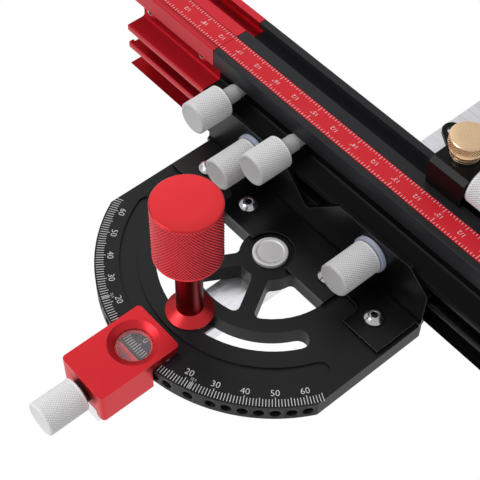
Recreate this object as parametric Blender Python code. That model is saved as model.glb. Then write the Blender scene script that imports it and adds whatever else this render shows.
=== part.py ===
"""Miter gauge: a steel bar, a protractor head that turns on it, and a telescoping fence with a stop.

Units are metres, +Z is up.  The origin lies on the underside of the miter bar, below the head's pivot.
The bar runs along Y with its front end at -Y, and the fence runs along X behind the pivot.
"""
import math

import bmesh
import bpy
from mathutils import Vector

# Clearances between pieces that touch, and the wall of the extrusions
GAP = 0.0003
WALL = 0.0024

# Miter bar
BAR_WIDTH = 0.0190
BAR_DEPTH = 0.0095
BAR_LENGTH = 0.4572
BAR_CHAMFER = 0.0006
BAR_BEYOND_PLATE = 0.0267

# Protractor plate and its pivot
PLATE_THICK = 0.0090
PLATE_RADIUS = 0.0805
PLATE_SIDE_CUT = 0.0088
PLATE_BACK = 0.0250
PIVOT_SHANK_RADIUS = 0.0040
PIVOT_CAP_RADIUS = 0.0083
PIVOT_CAP_HEIGHT = 0.0020
PIVOT_CAP_RIM = 0.0013
PIVOT_DEPTH_IN_BAR = 0.0060
WINDOW_INNER_RADIUS = 0.0144
WINDOW_TO_SLOT = 0.0119
WINDOW_CORNER = 0.0026
WINDOW_BACK = 0.0004
SPOKE_ANGLE = math.radians(30.0)
SPOKE_WIDTH = 0.0072
SLOT_INSIDE_RIM = 0.0330
SLOT_WIDTH = 0.0098
SLOT_END_ANGLE = math.radians(63.5)
BAND_INSIDE_RIM = 0.0113
BAND_WIDTH = 0.0086
BAND_END_ANGLE = math.radians(67.7)
BAND_DEPTH = 0.0010
DETENT_RADIUS = 0.0025
DETENT_DEPTH = 0.0050
DETENT_BELOW_TOP = 0.0045
DETENT_ANGLES = (0.0, 5.0, 10.0, 15.0, 22.5, 30.0, 35.0, 40.0, 45.0, 50.0, 55.0, 60.0)

# Pointer block, lens and index plunger at the front of the bar
BLOCK_WIDTH = 0.0282
BLOCK_TOP_ABOVE_PLATE = 0.0050
BLOCK_BELOW_BAR_TOP = 0.0033
BLOCK_OVER_PLATE = 0.0159
BLOCK_CORNER = 0.0020
RIM_POCKET_HALF_ANGLE = math.radians(23.0)
LENS_INSIDE_RIM = 0.0017
LENS_RADIUS = 0.0082
LENS_THICK = 0.0015
LENS_LEDGE = 0.0008
LENS_ABOVE_PLATE = 0.0014
COUNTERSINK_RADIUS = 0.0118
POINTER_FLOOR_DROP = 0.0002
PLUNGER_PIN_RADIUS = 0.0022
PLUNGER_BORE_RADIUS = 0.0036
PLUNGER_COLLAR_THICK = 0.0012
PLUNGER_TIP_CLEARANCE = 0.0003
PLUNGER_TIP_LENGTH = 0.0025
PLUNGER_TIP_RADIUS = 0.0013
PLUNGER_NOSE_LENGTH = 0.0060
PLUNGER_KNOB_RADIUS = 0.0082
PLUNGER_KNOB_LENGTH = 0.0201
PLUNGER_KNOB_STANDOFF = 0.0022
PLUNGER_COUNTERBORE_DEPTH = 0.0034
PLUNGER_PIN_IN_KNOB = 0.0080
BUSHING_LENGTH = 0.0060
BUSHING_RADIUS = 0.0055
BUSHING_THREAD_RADIUS = 0.0036
BUSHING_PROUD = 0.0022
SPRING_COIL_RADIUS = 0.0029
SPRING_WIRE_RADIUS = 0.00035
SPRING_TURNS = 5
BLOCK_SCREW_SPREAD = 0.0124
BLOCK_SCREW_SETBACK = 0.0075
BLOCK_SCREW_RADIUS = 0.0015
BLOCK_SCREW_HEAD_RADIUS = 0.0028
BLOCK_SCREW_HEAD_HEIGHT = 0.0016
BLOCK_SCREW_LENGTH = 0.0110

# Clamp knob and its stud
STUD_RADIUS = 0.0040
STUD_DEPTH_IN_BAR = 0.0065
STUD_REACH_IN_KNOB = 0.0280
CLAMP_FLANGE_RADIUS = 0.0114
CLAMP_FLANGE_EDGE = 0.0012
CLAMP_CONE_TOP = 0.0075
CLAMP_STEM_RADIUS = 0.0063
CLAMP_BODY_RADIUS = 0.0152
CLAMP_BODY_BOTTOM = 0.0420
CLAMP_TOP = 0.0753
CLAMP_EDGE = 0.0005

# Folded sheet bracket that carries the fence
SHEET = 0.0020
BEND_RADIUS = 0.0012
BRACKET_FRONT = -0.0010
BRACKET_INSIDE_PLATE = 0.0017
UPRIGHT_FACE = 0.0239
UPRIGHT_BEYOND_PLATE = 0.0003
UPRIGHT_TOP = 0.0314
UPRIGHT_CORNER_X = 0.0115
UPRIGHT_CORNER_Z = 0.0095
NOTCH_CENTRE = -0.0025
NOTCH_HALF_WIDTH = 0.0192
NOTCH_BOTTOM = 0.0132
NOTCH_FLAT = 0.0020
CAP_NOTCH_RADIUS = 0.0112
FRONT_NOTCH_CENTRE = 0.0425
FRONT_NOTCH_WIDTH = 0.0125
FRONT_NOTCH_DEPTH = 0.0105
FRONT_NOTCH_CORNER = 0.0038
CUTTER_OVERSHOOT = 0.0050
BRACKET_SCREW_ROW = 0.0104
BRACKET_SCREW_INNER = 0.0270
BRACKET_SCREW_INSET = 0.0151
BRACKET_SCREW_RADIUS = 0.0025
BRACKET_SCREW_LENGTH = 0.0100
BUTTON_HEAD_RADIUS = 0.0047
BUTTON_HEAD_HEIGHT = 0.0027
HEX_RADIUS = 0.0017
HEX_DEPTH = 0.0014

# Fence extrusion: heights above its underside, distances behind its front lips
FENCE_HEIGHT = 0.0494
FENCE_DEPTH = 0.0392
FENCE_LEFT = -0.0786
FENCE_LENGTH = 0.4400
FLANGE = 0.0018
FLANGE_BEVEL = 0.0015
FIN = 0.0020
LIP = 0.0026
SIDE_SLOT_CENTRE = 0.0203
SIDE_SLOT_MOUTH = 0.0076
SIDE_SLOT_WIDTH = 0.0112
WEB_SETBACK = 0.0107
WEB_FILLET = 0.0010
LEDGE_SETBACK = 0.0063
LEDGE_BOTTOM = 0.0395
LEDGE_CHAMFER = 0.0005
TOP_SLOT_SETBACK = 0.03095
TOP_SLOT_MOUTH = 0.0083
TOP_SLOT_WIDTH = 0.0131
TOP_SLOT_DEPTH = 0.0074
TOP_SLOT_LIP = 0.0034
BAR_CHANNEL_CENTRE = 0.0356
BAR_CHANNEL_HEIGHT = 0.0126
BAR_CHANNEL_DEPTH = 0.0086

# Ruler strips in their groove
RULER_SETBACK = 0.0097
RULER_GROOVE_WIDTH = 0.0110
RULER_GROOVE_DEPTH = 0.0010

# Fence extension and its slide bar
EXTENSION_FINS_LENGTH = 0.0587
EXTENSION_LENGTH = 0.1210
SLIDE_BAR_LENGTH = 0.3000
SLIDE_BAR_INSET = 0.0030
EXTENSION_SCREW_FIRST = 0.0119
EXTENSION_SCREW_PITCH = 0.0393
EXTENSION_SCREW_RADIUS = 0.0020
EXTENSION_SCREW_HEAD_RADIUS = 0.0036
EXTENSION_SCREW_HEAD_HEIGHT = 0.0019
EXTENSION_SCREW_DEPTH_IN_BAR = 0.0050

# Knurled thumb knobs of the fence
THUMB_RADIUS = 0.0080
THUMB_EDGE = 0.0005
FENCE_KNOB_SPREAD = 0.0780
FENCE_KNOB_LENGTH = 0.0210
FENCE_KNOB_BORE_DEPTH = 0.0140
WASHER_RADIUS = 0.0090
WASHER_THICK = 0.0018
T_BOLT_RADIUS = 0.0030
T_BOLT_HEAD_WIDTH = 0.0104
T_BOLT_HEAD_THICK = 0.0034
LIFT_TRAVEL = 0.0050
EXTENSION_KNOB_LEFT = -0.0620
EXTENSION_KNOB_PITCH = 0.0408
EXTENSION_KNOB_LENGTH = 0.0180
EXTENSION_COLLAR_RADIUS = 0.0036
EXTENSION_STUD_RADIUS = 0.0025

# Flip stop on the fence's top slot
STOP_LEFT = 0.0398
STOP_BLOCK_LENGTH = 0.0200
STOP_FRONT_SETBACK = 0.0241
STOP_DEPTH = 0.0202
STOP_HEIGHT = 0.0152
STOP_CHAMFER_Y = 0.0027
STOP_CHAMFER_Z = 0.0022
STOP_SLIDER_THICK = 0.0030
STOP_SLIDER_OVERHANG = 0.0030
STOP_SCREW_RADIUS = 0.0015
LOCK_KNOB_SETBACK = 0.0362
LOCK_KNOB_OFFSET = 0.0013
LOCK_KNOB_RADIUS = 0.0083
LOCK_KNOB_HEIGHT = 0.0102
LOCK_KNOB_BAND = 0.0042
LOCK_KNOB_FOOT_RADIUS = 0.0063
LOCK_KNOB_WAIST_RADIUS = 0.0075
LOCK_KNOB_WAIST_HEIGHT = 0.0020
LOCK_STUD_RADIUS = 0.0020
LOCK_WASHER_RADIUS = 0.0066
LOCK_WASHER_THICK = 0.0012
EYE_ROOT = 0.0030
EYE_REACH_X = 0.0068
EYE_REACH_Y = 0.0022
EYE_RADIUS = 0.0047
EYE_HOLE_RADIUS = 0.0024
EYE_THICK = 0.0022
EYE_BELOW_TOP = 0.0050
WHEEL_RADIUS = 0.0092
WHEEL_LENGTH = 0.0169
WHEEL_CLEARANCE = 0.0010
WHEEL_SETBACK = 0.0338
WHEEL_ABOVE_FENCE = 0.0101
WHEEL_SCREW_RADIUS = 0.0020
WHEEL_SCREW_ENGAGED = 0.0080
CARRIAGE_LENGTH = 0.0200
ARM_THICK = 0.0040
ARM_WIDTH = 0.0120
ARM_TIP_ABOVE_FENCE_BOTTOM = 0.0080
ARM_PIN_RADIUS = 0.0020
ARM_PIN_HEAD_RADIUS = 0.0034
ARM_PIN_HEAD_THICK = 0.0014
ARM_STANDOFF = 0.0007
ARM_PIN_ABOVE_FENCE = 0.0080
ARM_BOSS_RADIUS = 0.0042
ARM_BOSS_LENGTH = 0.0130

# Levels and planes that follow from the sizes above
BAR_FRONT = PLATE_RADIUS + BAR_BEYOND_PLATE
PLATE_HALF_WIDTH = PLATE_RADIUS - PLATE_SIDE_CUT
SLOT_RADIUS = PLATE_RADIUS - SLOT_INSIDE_RIM
WINDOW_OUTER_RADIUS = SLOT_RADIUS - WINDOW_TO_SLOT
BAND_OUTER_RADIUS = PLATE_RADIUS - BAND_INSIDE_RIM
BAND_INNER_RADIUS = BAND_OUTER_RADIUS - BAND_WIDTH
BLOCK_BACK = PLATE_RADIUS - BLOCK_OVER_PLATE
LENS_DISTANCE = PLATE_RADIUS - LENS_INSIDE_RIM
BRACKET_HALF_WIDTH = PLATE_HALF_WIDTH - BRACKET_INSIDE_PLATE
UPRIGHT_HALF_WIDTH = PLATE_HALF_WIDTH + UPRIGHT_BEYOND_PLATE
BRACKET_SCREW_OUTER = PLATE_HALF_WIDTH - BRACKET_SCREW_INSET
BAR_TOP = BAR_DEPTH
PLATE_BOTTOM = BAR_TOP + GAP
PLATE_TOP = PLATE_BOTTOM + PLATE_THICK
DETENT_LEVEL = PLATE_TOP - DETENT_BELOW_TOP
FENCE_BOTTOM = PLATE_TOP
FENCE_TOP = FENCE_BOTTOM + FENCE_HEIGHT
FENCE_FRONT = UPRIGHT_FACE + SHEET + GAP
FENCE_RIGHT = FENCE_LEFT + FENCE_LENGTH
SLOT_LEVEL = FENCE_BOTTOM + SIDE_SLOT_CENTRE
WEB_FACE = FENCE_FRONT + WEB_SETBACK
CHANNEL_FRONT = WEB_FACE + WALL
CHANNEL_LEVEL = FENCE_BOTTOM + BAR_CHANNEL_CENTRE
SLIDE_BAR_HEIGHT = BAR_CHANNEL_HEIGHT - 2 * GAP
SLIDE_BAR_DEPTH = BAR_CHANNEL_DEPTH - 2 * GAP
EXTENSION_RIGHT = FENCE_LEFT - GAP
EXTENSION_LEFT = EXTENSION_RIGHT - EXTENSION_LENGTH
WASHER_BACK = UPRIGHT_FACE - GAP
FENCE_KNOB_BACK = WASHER_BACK - WASHER_THICK - GAP
EXTENSION_KNOB_BACK = UPRIGHT_FACE - GAP
STOP_BOTTOM = FENCE_TOP + GAP
STOP_TOP = STOP_BOTTOM + STOP_HEIGHT
STOP_FRONT = FENCE_FRONT + STOP_FRONT_SETBACK
STOP_BACK = STOP_FRONT + STOP_DEPTH
STOP_RIGHT = STOP_LEFT + STOP_BLOCK_LENGTH
WHEEL_LEFT = STOP_RIGHT + GAP
CARRIAGE_LEFT = WHEEL_LEFT + WHEEL_LENGTH + WHEEL_CLEARANCE
CARRIAGE_RIGHT = CARRIAGE_LEFT + CARRIAGE_LENGTH
WHEEL_Y = FENCE_FRONT + WHEEL_SETBACK
WHEEL_LEVEL = FENCE_TOP + WHEEL_ABOVE_FENCE
TOP_SLOT_Y = FENCE_FRONT + TOP_SLOT_SETBACK
TOP_SLOT_FLOOR = FENCE_TOP - TOP_SLOT_DEPTH


def finish(name, bm, origin=(0, 0, 0), material=None, smooth=True):
    """Turn a bmesh into one object whose origin sits at the given world point."""
    bmesh.ops.remove_doubles(bm, verts=bm.verts, dist=1e-6)
    bmesh.ops.recalc_face_normals(bm, faces=bm.faces)
    bmesh.ops.translate(bm, verts=bm.verts, vec=-Vector(origin))
    mesh = bpy.data.meshes.new(name)
    bm.to_mesh(mesh)
    bm.free()
    if smooth:
        mesh.shade_smooth()
        mesh.set_sharp_from_angle(angle=math.radians(35))
    if material:
        mesh.materials.append(material)
    obj = bpy.data.objects.new(name, mesh)
    obj.location = origin
    bpy.context.scene.collection.objects.link(obj)
    return obj


def paint(name, colour, metallic, roughness, alpha=1.0):
    """A Principled material with one colour."""
    material = bpy.data.materials.new(name)
    material.use_nodes = True
    shader = material.node_tree.nodes["Principled BSDF"]
    shader.inputs["Base Color"].default_value = (*colour, 1.0)
    shader.inputs["Metallic"].default_value = metallic
    shader.inputs["Roughness"].default_value = roughness
    shader.inputs["Alpha"].default_value = alpha
    return material


def arc(cx, cy, radius, start, end, steps):
    """Points on an arc, ends included, angles in radians."""
    turn = (end - start) / steps
    return [(cx + radius * math.cos(start + i * turn), cy + radius * math.sin(start + i * turn))
            for i in range(steps + 1)]


def rounded(corners, steps=4):
    """A closed outline from (x, y, radius) corners, each radius drawn as an arc."""
    points = []
    for i, (x, y, radius) in enumerate(corners):
        corner = Vector((x, y))
        if radius <= 0:
            points.append((x, y))
            continue
        before = (Vector(corners[i - 1][:2]) - corner).normalized()
        after = (Vector(corners[(i + 1) % len(corners)][:2]) - corner).normalized()
        half = before.angle(after) / 2
        centre = corner + (before + after).normalized() * radius / math.sin(half)
        first = corner + before * radius / math.tan(half) - centre
        last = corner + after * radius / math.tan(half) - centre
        start = math.atan2(first.y, first.x)
        sweep = (math.atan2(last.y, last.x) - start + math.pi) % (2 * math.pi) - math.pi
        points += arc(centre.x, centre.y, radius, start, start + sweep, steps)
    return points


def place(plane, u, v, w):
    """World point of outline coordinates u, v at height w along the outline's normal."""
    if plane == "XY":
        return (u, v, w)
    if plane == "XZ":
        return (u, w, v)
    return (w, u, v)


def prism(name, loops, start, end, plane="XY", material=None, origin=(0, 0, 0)):
    """Extrude an outline, with any further loops as holes, from start to end along its normal."""
    bm = bmesh.new()
    edges = []
    for loop in loops:
        verts = [bm.verts.new(place(plane, u, v, start)) for u, v in loop]
        edges += [bm.edges.new((verts[i - 1], verts[i])) for i in range(len(verts))]
    bmesh.ops.triangle_fill(bm, edges=edges, use_beauty=True)
    lifted = bmesh.ops.extrude_face_region(bm, geom=bm.faces[:])["geom"]
    shift = Vector(place(plane, 0, 0, end)) - Vector(place(plane, 0, 0, start))
    bmesh.ops.translate(bm, verts=[v for v in lifted if isinstance(v, bmesh.types.BMVert)], vec=shift)
    return finish(name, bm, origin, material)


def turned(name, profile, centre, axis="Z", material=None, segments=32, closed=False):
    """Revolve (radius, height) points about an axis through centre.

    An open profile gets a flat cap at each end, and a closed one makes a ring.
    """
    bm = bmesh.new()
    rings = []
    for radius, height in profile:
        ring = []
        for u, v in arc(0, 0, radius, 0, 2 * math.pi, segments)[:-1]:
            point = {"Z": (u, v, height), "Y": (u, height, v), "X": (height, u, v)}[axis]
            ring.append(bm.verts.new(Vector(point) + Vector(centre)))
        rings.append(ring)
    pairs = list(zip(rings, rings[1:]))
    if closed:
        pairs.append((rings[-1], rings[0]))
    else:
        bm.faces.new(rings[0])
        bm.faces.new(rings[-1])
    for lower, upper in pairs:
        for i in range(segments):
            bm.faces.new((lower[i - 1], lower[i], upper[i], upper[i - 1]))
    return finish(name, bm, centre, material)


def cut(target, cutter, operation="DIFFERENCE"):
    """Subtract a helper shape, or add it with UNION; it stays in the file as a hidden wire shape."""
    cutter.hide_render = True
    cutter.display_type = "WIRE"
    modifier = target.modifiers.new("use_" + cutter.name, "BOOLEAN")
    modifier.operation = operation
    modifier.solver = "EXACT"
    modifier.object = cutter


def cylinder_cutter(name, centre, axis, radius, length, segments=24):
    """A plain cylinder that starts at centre and runs along the axis."""
    return turned(name, [(radius, 0), (radius, length)], centre, axis, None, segments)


def box_cutter(name, low, high):
    """A rectangular cutter between two corners."""
    outline = [(low[0], low[1]), (high[0], low[1]), (high[0], high[1]), (low[0], high[1])]
    return prism(name, [outline], low[2], high[2])


def knob_profile(radius, length, edge):
    """Outline of a plain knurled knob with a small edge break at both ends."""
    return [(radius - edge, 0), (radius, edge), (radius, length - edge), (radius - edge, length)]


def polar(radius, angle):
    """Plan position at an angle from the bar's front direction, positive to +X."""
    return (radius * math.sin(angle), -radius * math.cos(angle))


def band_loop(inner, outer, end_angle, steps=36):
    """A curved slot about the pivot with round ends."""
    middle = (inner + outer) / 2
    half = (outer - inner) / 2
    low, high = -math.pi / 2 - end_angle, -math.pi / 2 + end_angle
    right = polar(middle, end_angle)
    left = polar(middle, -end_angle)
    loop = arc(0, 0, outer, low, high, steps)
    loop += arc(right[0], right[1], half, high, high + math.pi, 8)[1:-1]
    loop += arc(0, 0, inner, high, low, steps)
    loop += arc(left[0], left[1], half, low - math.pi, low, 8)[1:-1]
    return loop


def clear_scene():
    """Start from an empty scene."""
    for obj in list(bpy.data.objects):
        bpy.data.objects.remove(obj, do_unlink=True)


def make_bar(steel):
    """Miter bar with blind holes for the pivot and the clamp stud, and two screw holes for the block."""
    half = BAR_WIDTH / 2
    section = rounded([(-half, 0, BAR_CHAMFER), (half, 0, BAR_CHAMFER),
                       (half, BAR_DEPTH, BAR_CHAMFER), (-half, BAR_DEPTH, BAR_CHAMFER)], 1)
    bar = prism("miter_bar", [section], -BAR_FRONT, BAR_LENGTH - BAR_FRONT, "XZ", steel)
    cut(bar, cylinder_cutter("pivot_hole", (0, 0, BAR_TOP - PIVOT_DEPTH_IN_BAR), "Z",
                             PIVOT_SHANK_RADIUS + GAP, PIVOT_DEPTH_IN_BAR + GAP))
    cut(bar, cylinder_cutter("stud_hole", (0, -SLOT_RADIUS, BAR_TOP - STUD_DEPTH_IN_BAR), "Z",
                             STUD_RADIUS + GAP, STUD_DEPTH_IN_BAR + GAP))
    for side in (-1, 1):
        head_top = BLOCK_SCREW_HEAD_HEIGHT + 2 * GAP
        profile = [(BLOCK_SCREW_HEAD_RADIUS + 2 * GAP, -GAP), (BLOCK_SCREW_RADIUS + GAP, head_top),
                   (BLOCK_SCREW_RADIUS + GAP, BAR_TOP + GAP)]
        centre = (side * BLOCK_SCREW_SPREAD / 2, -BAR_FRONT + BLOCK_SCREW_SETBACK, 0)
        cut(bar, turned("bar_screw_hole", profile, centre, "Z", None, 20))
    return bar


def make_pivot(steel):
    """Pivot bolt with a low cap that has a raised rim."""
    cap_bottom = PLATE_TOP + GAP
    rim = PIVOT_CAP_RADIUS - PIVOT_CAP_RIM
    profile = [(PIVOT_SHANK_RADIUS, BAR_TOP - PIVOT_DEPTH_IN_BAR + GAP),
               (PIVOT_SHANK_RADIUS, cap_bottom),
               (PIVOT_CAP_RADIUS, cap_bottom),
               (PIVOT_CAP_RADIUS, cap_bottom + PIVOT_CAP_HEIGHT - GAP),
               (PIVOT_CAP_RADIUS - GAP, cap_bottom + PIVOT_CAP_HEIGHT),
               (rim, cap_bottom + PIVOT_CAP_HEIGHT),
               (rim - GAP, cap_bottom + PIVOT_CAP_HEIGHT - GAP)]
    turned("pivot_bolt", profile, (0, 0, 0), "Z", steel, 40)


def make_plate(black):
    """Protractor plate: round rim, flat sides, three windows, clamp slot, recessed band and detents."""
    corner_angle = math.asin(PLATE_HALF_WIDTH / PLATE_RADIUS)
    rim = arc(0, 0, PLATE_RADIUS, -math.pi / 2 - corner_angle, -math.pi / 2 + corner_angle, 72)
    outline = [(-PLATE_HALF_WIDTH, PLATE_BACK)] + rim + [(PLATE_HALF_WIDTH, PLATE_BACK)]
    loops = [outline, band_loop(SLOT_RADIUS - SLOT_WIDTH / 2, SLOT_RADIUS + SLOT_WIDTH / 2,
                                SLOT_END_ANGLE, 30)]
    loops += window_loops()
    loops.append(arc(0, 0, PIVOT_SHANK_RADIUS + GAP, 0, 2 * math.pi, 32)[:-1])
    plate = prism("protractor_plate", loops, PLATE_BOTTOM, PLATE_TOP, "XY", black)
    band = band_loop(BAND_INNER_RADIUS, BAND_OUTER_RADIUS, BAND_END_ANGLE)
    cut(plate, prism("band_cutter", [band], PLATE_TOP - BAND_DEPTH, PLATE_TOP + BAND_DEPTH))
    cut(plate, detent_cutter())
    for x in bracket_screw_places():
        cut(plate, cylinder_cutter("plate_screw_hole", (x, BRACKET_SCREW_ROW, PLATE_BOTTOM - GAP), "Z",
                                   BRACKET_SCREW_RADIUS + GAP, PLATE_THICK + 2 * GAP, 16))
    return plate


def window_loops():
    """Three windows between the back edge and the two spokes."""
    def spoke_edge(radius, side):
        """Point on a spoke's edge at a radius; side +1 is the edge away from the bar."""
        offset = side * math.asin(SPOKE_WIDTH / 2 / radius)
        return polar(radius, SPOKE_ANGLE + offset)

    def fan(start, end, radius, steps):
        """Points of an arc between two plan points at one radius."""
        a0, a1 = math.atan2(start[1], start[0]), math.atan2(end[1], end[0])
        return arc(0, 0, radius, a0, a1, steps)

    centre_right_in = spoke_edge(WINDOW_INNER_RADIUS, -1)
    centre_right_out = spoke_edge(WINDOW_OUTER_RADIUS, -1)
    centre = soften(fan((-centre_right_in[0], centre_right_in[1]), centre_right_in, WINDOW_INNER_RADIUS, 4)
                    + fan(centre_right_out, (-centre_right_out[0], centre_right_out[1]),
                          WINDOW_OUTER_RADIUS, 8))
    side_in = spoke_edge(WINDOW_INNER_RADIUS, 1)
    side_out = spoke_edge(WINDOW_OUTER_RADIUS, 1)
    back_in = (math.sqrt(WINDOW_INNER_RADIUS ** 2 - WINDOW_BACK ** 2), WINDOW_BACK)
    back_out = (math.sqrt(WINDOW_OUTER_RADIUS ** 2 - WINDOW_BACK ** 2), WINDOW_BACK)
    right = soften(fan(side_in, back_in, WINDOW_INNER_RADIUS, 4)
                   + fan(back_out, side_out, WINDOW_OUTER_RADIUS, 8))
    return [centre, right, [(-x, y) for x, y in right]]


def soften(outline):
    """Round the four sharp corners of a window outline."""
    corners = []
    for i, (x, y) in enumerate(outline):
        before = (Vector(outline[i - 1]) - Vector((x, y))).normalized()
        after = (Vector(outline[(i + 1) % len(outline)]) - Vector((x, y))).normalized()
        sharp = before.angle(after) < math.radians(140)
        corners.append((x, y, WINDOW_CORNER if sharp else 0))
    keep = []
    for i, (x, y, radius) in enumerate(corners):
        near_sharp = any(corners[j % len(corners)][2] > 0 for j in (i - 1, i + 1))
        spacing = min((Vector(corners[j % len(corners)][:2]) - Vector((x, y))).length
                      for j in (i - 1, i + 1))
        if radius > 0 or not (near_sharp and spacing < WINDOW_CORNER):
            keep.append((x, y, radius))
    return rounded(keep, 4)


def detent_cutter():
    """Radial blind holes in the rim, one for each indexed angle on both sides."""
    bm = bmesh.new()
    angles = sorted({side * a for a in DETENT_ANGLES for side in (-1, 1)})
    segments = 12
    for angle in angles:
        direction = Vector((*polar(1.0, math.radians(angle)), 0))
        across = Vector((-direction.y, direction.x, 0))
        rings = []
        for radius in (PLATE_RADIUS - DETENT_DEPTH, PLATE_RADIUS + DETENT_DEPTH):
            centre = direction * radius + Vector((0, 0, DETENT_LEVEL))
            rings.append([bm.verts.new(centre + across * u + Vector((0, 0, v)))
                          for u, v in arc(0, 0, DETENT_RADIUS, 0, 2 * math.pi, segments)[:-1]])
        bm.faces.new(rings[0])
        bm.faces.new(rings[1])
        for i in range(segments):
            bm.faces.new((rings[0][i - 1], rings[0][i], rings[1][i], rings[1][i - 1]))
    return finish("detent_cutter", bm)


def make_block(red):
    """Pointer block: sits astride the bar's front end and reaches back over the plate's rim."""
    half = BLOCK_WIDTH / 2
    bottom = BAR_TOP - BLOCK_BELOW_BAR_TOP
    top = PLATE_TOP + BLOCK_TOP_ABOVE_PLATE
    outline = rounded([(-half, -BAR_FRONT, BLOCK_CORNER), (half, -BAR_FRONT, BLOCK_CORNER),
                       (half, -BLOCK_BACK, BLOCK_CORNER), (-half, -BLOCK_BACK, BLOCK_CORNER)])
    block = prism("pointer_block", [outline], bottom, top, "XY", red)
    reach = PLATE_RADIUS + 2 * GAP
    low, high = -math.pi / 2 - RIM_POCKET_HALF_ANGLE, -math.pi / 2 + RIM_POCKET_HALF_ANGLE
    rim = arc(0, 0, reach, low, high, 24)
    pocket = rim + [(BLOCK_WIDTH, -BLOCK_BACK / 2), (-BLOCK_WIDTH, -BLOCK_BACK / 2)]
    cut(block, prism("rim_pocket", [pocket], bottom - GAP, PLATE_TOP + GAP))
    groove = BAR_WIDTH / 2 + GAP
    cut(block, box_cutter("bar_groove", (-groove, -BAR_FRONT - CUTTER_OVERSHOOT, bottom - GAP),
                          (groove, -BLOCK_BACK, BAR_TOP + GAP)))
    floor = PLATE_TOP - POINTER_FLOOR_DROP
    lens_bottom = PLATE_TOP + LENS_ABOVE_PLATE
    lens_top = lens_bottom + LENS_THICK + GAP
    bore = LENS_RADIUS - LENS_LEDGE
    profile = [(bore, floor), (bore, lens_bottom - GAP), (LENS_RADIUS + GAP, lens_bottom - GAP),
               (LENS_RADIUS + GAP, lens_top), (COUNTERSINK_RADIUS, top), (COUNTERSINK_RADIUS, top + GAP)]
    cut(block, turned("lens_bore", profile, (0, -LENS_DISTANCE, 0), "Z", None, 48))
    nose = BAR_FRONT - PLATE_RADIUS - BUSHING_LENGTH
    profile = [(BUSHING_THREAD_RADIUS + GAP, -GAP), (BUSHING_THREAD_RADIUS + GAP, BUSHING_LENGTH + GAP),
               (PLUNGER_BORE_RADIUS, BUSHING_LENGTH + GAP),
               (PLUNGER_BORE_RADIUS, BUSHING_LENGTH + nose - PLUNGER_NOSE_LENGTH),
               (PLUNGER_PIN_RADIUS + GAP, BUSHING_LENGTH + nose - PLUNGER_NOSE_LENGTH),
               (PLUNGER_PIN_RADIUS + GAP, BUSHING_LENGTH + nose + 2 * GAP)]
    cut(block, turned("plunger_bore", profile, (0, -BAR_FRONT, DETENT_LEVEL), "Y", None, 24))
    for side in (-1, 1):
        centre = (side * BLOCK_SCREW_SPREAD / 2, -BAR_FRONT + BLOCK_SCREW_SETBACK, BAR_TOP - GAP)
        depth = BLOCK_SCREW_LENGTH - BAR_TOP + 3 * GAP
        cut(block, cylinder_cutter("block_screw_hole", centre, "Z", BLOCK_SCREW_RADIUS + GAP, depth, 16))
    return block


def make_block_fittings(glass, black, steel):
    """Lens, plunger bushing, spring and the two screws that hold the block from below."""
    lens_bottom = PLATE_TOP + LENS_ABOVE_PLATE
    turned("lens", [(LENS_RADIUS, lens_bottom), (LENS_RADIUS, lens_bottom + LENS_THICK)],
           (0, -LENS_DISTANCE, 0), "Z", glass, 48)
    hole = PLUNGER_PIN_RADIUS + GAP
    thread = BUSHING_THREAD_RADIUS
    profile = [(hole, -BUSHING_PROUD), (BUSHING_RADIUS, -BUSHING_PROUD), (BUSHING_RADIUS, -GAP),
               (thread, -GAP), (thread, BUSHING_LENGTH), (hole, BUSHING_LENGTH)]
    turned("plunger_bushing", profile, (0, -BAR_FRONT, DETENT_LEVEL), "Y", black, 32, closed=True)
    make_spring(steel)
    for side, label in ((-1, "left"), (1, "right")):
        profile = [(BLOCK_SCREW_HEAD_RADIUS, GAP), (BLOCK_SCREW_RADIUS, GAP + BLOCK_SCREW_HEAD_HEIGHT),
                   (BLOCK_SCREW_RADIUS, BLOCK_SCREW_LENGTH)]
        centre = (side * BLOCK_SCREW_SPREAD / 2, -BAR_FRONT + BLOCK_SCREW_SETBACK, 0)
        turned("block_screw_" + label, profile, centre, "Z", steel, 20)


def plunger_collar_back():
    """Y of the collar's front face on the plunger pin, where the spring bears."""
    return -PLATE_RADIUS - PLUNGER_TIP_CLEARANCE - PLUNGER_TIP_LENGTH - PLUNGER_NOSE_LENGTH


def make_spring(steel):
    """Compressed coil between the bushing and the collar of the plunger pin."""
    start = -BAR_FRONT + BUSHING_LENGTH + GAP + SPRING_WIRE_RADIUS
    end = plunger_collar_back() - PLUNGER_COLLAR_THICK - GAP - SPRING_WIRE_RADIUS
    steps = SPRING_TURNS * 10
    sides = 5
    bm = bmesh.new()
    rings = []
    for i in range(steps + 1):
        angle = 2 * math.pi * SPRING_TURNS * i / steps
        outward = Vector((math.cos(angle), 0, math.sin(angle)))
        centre = outward * SPRING_COIL_RADIUS
        centre += Vector((0, start + (end - start) * i / steps, DETENT_LEVEL))
        along = Vector((0, 1, 0))
        rings.append([bm.verts.new(centre + outward * u + along * v)
                      for u, v in arc(0, 0, SPRING_WIRE_RADIUS, 0, 2 * math.pi, sides)[:-1]])
    bm.faces.new(rings[0])
    bm.faces.new(rings[-1])
    for lower, upper in zip(rings, rings[1:]):
        for i in range(sides):
            bm.faces.new((lower[i - 1], lower[i], upper[i], upper[i - 1]))
    finish("plunger_spring", bm, material=steel)


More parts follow.
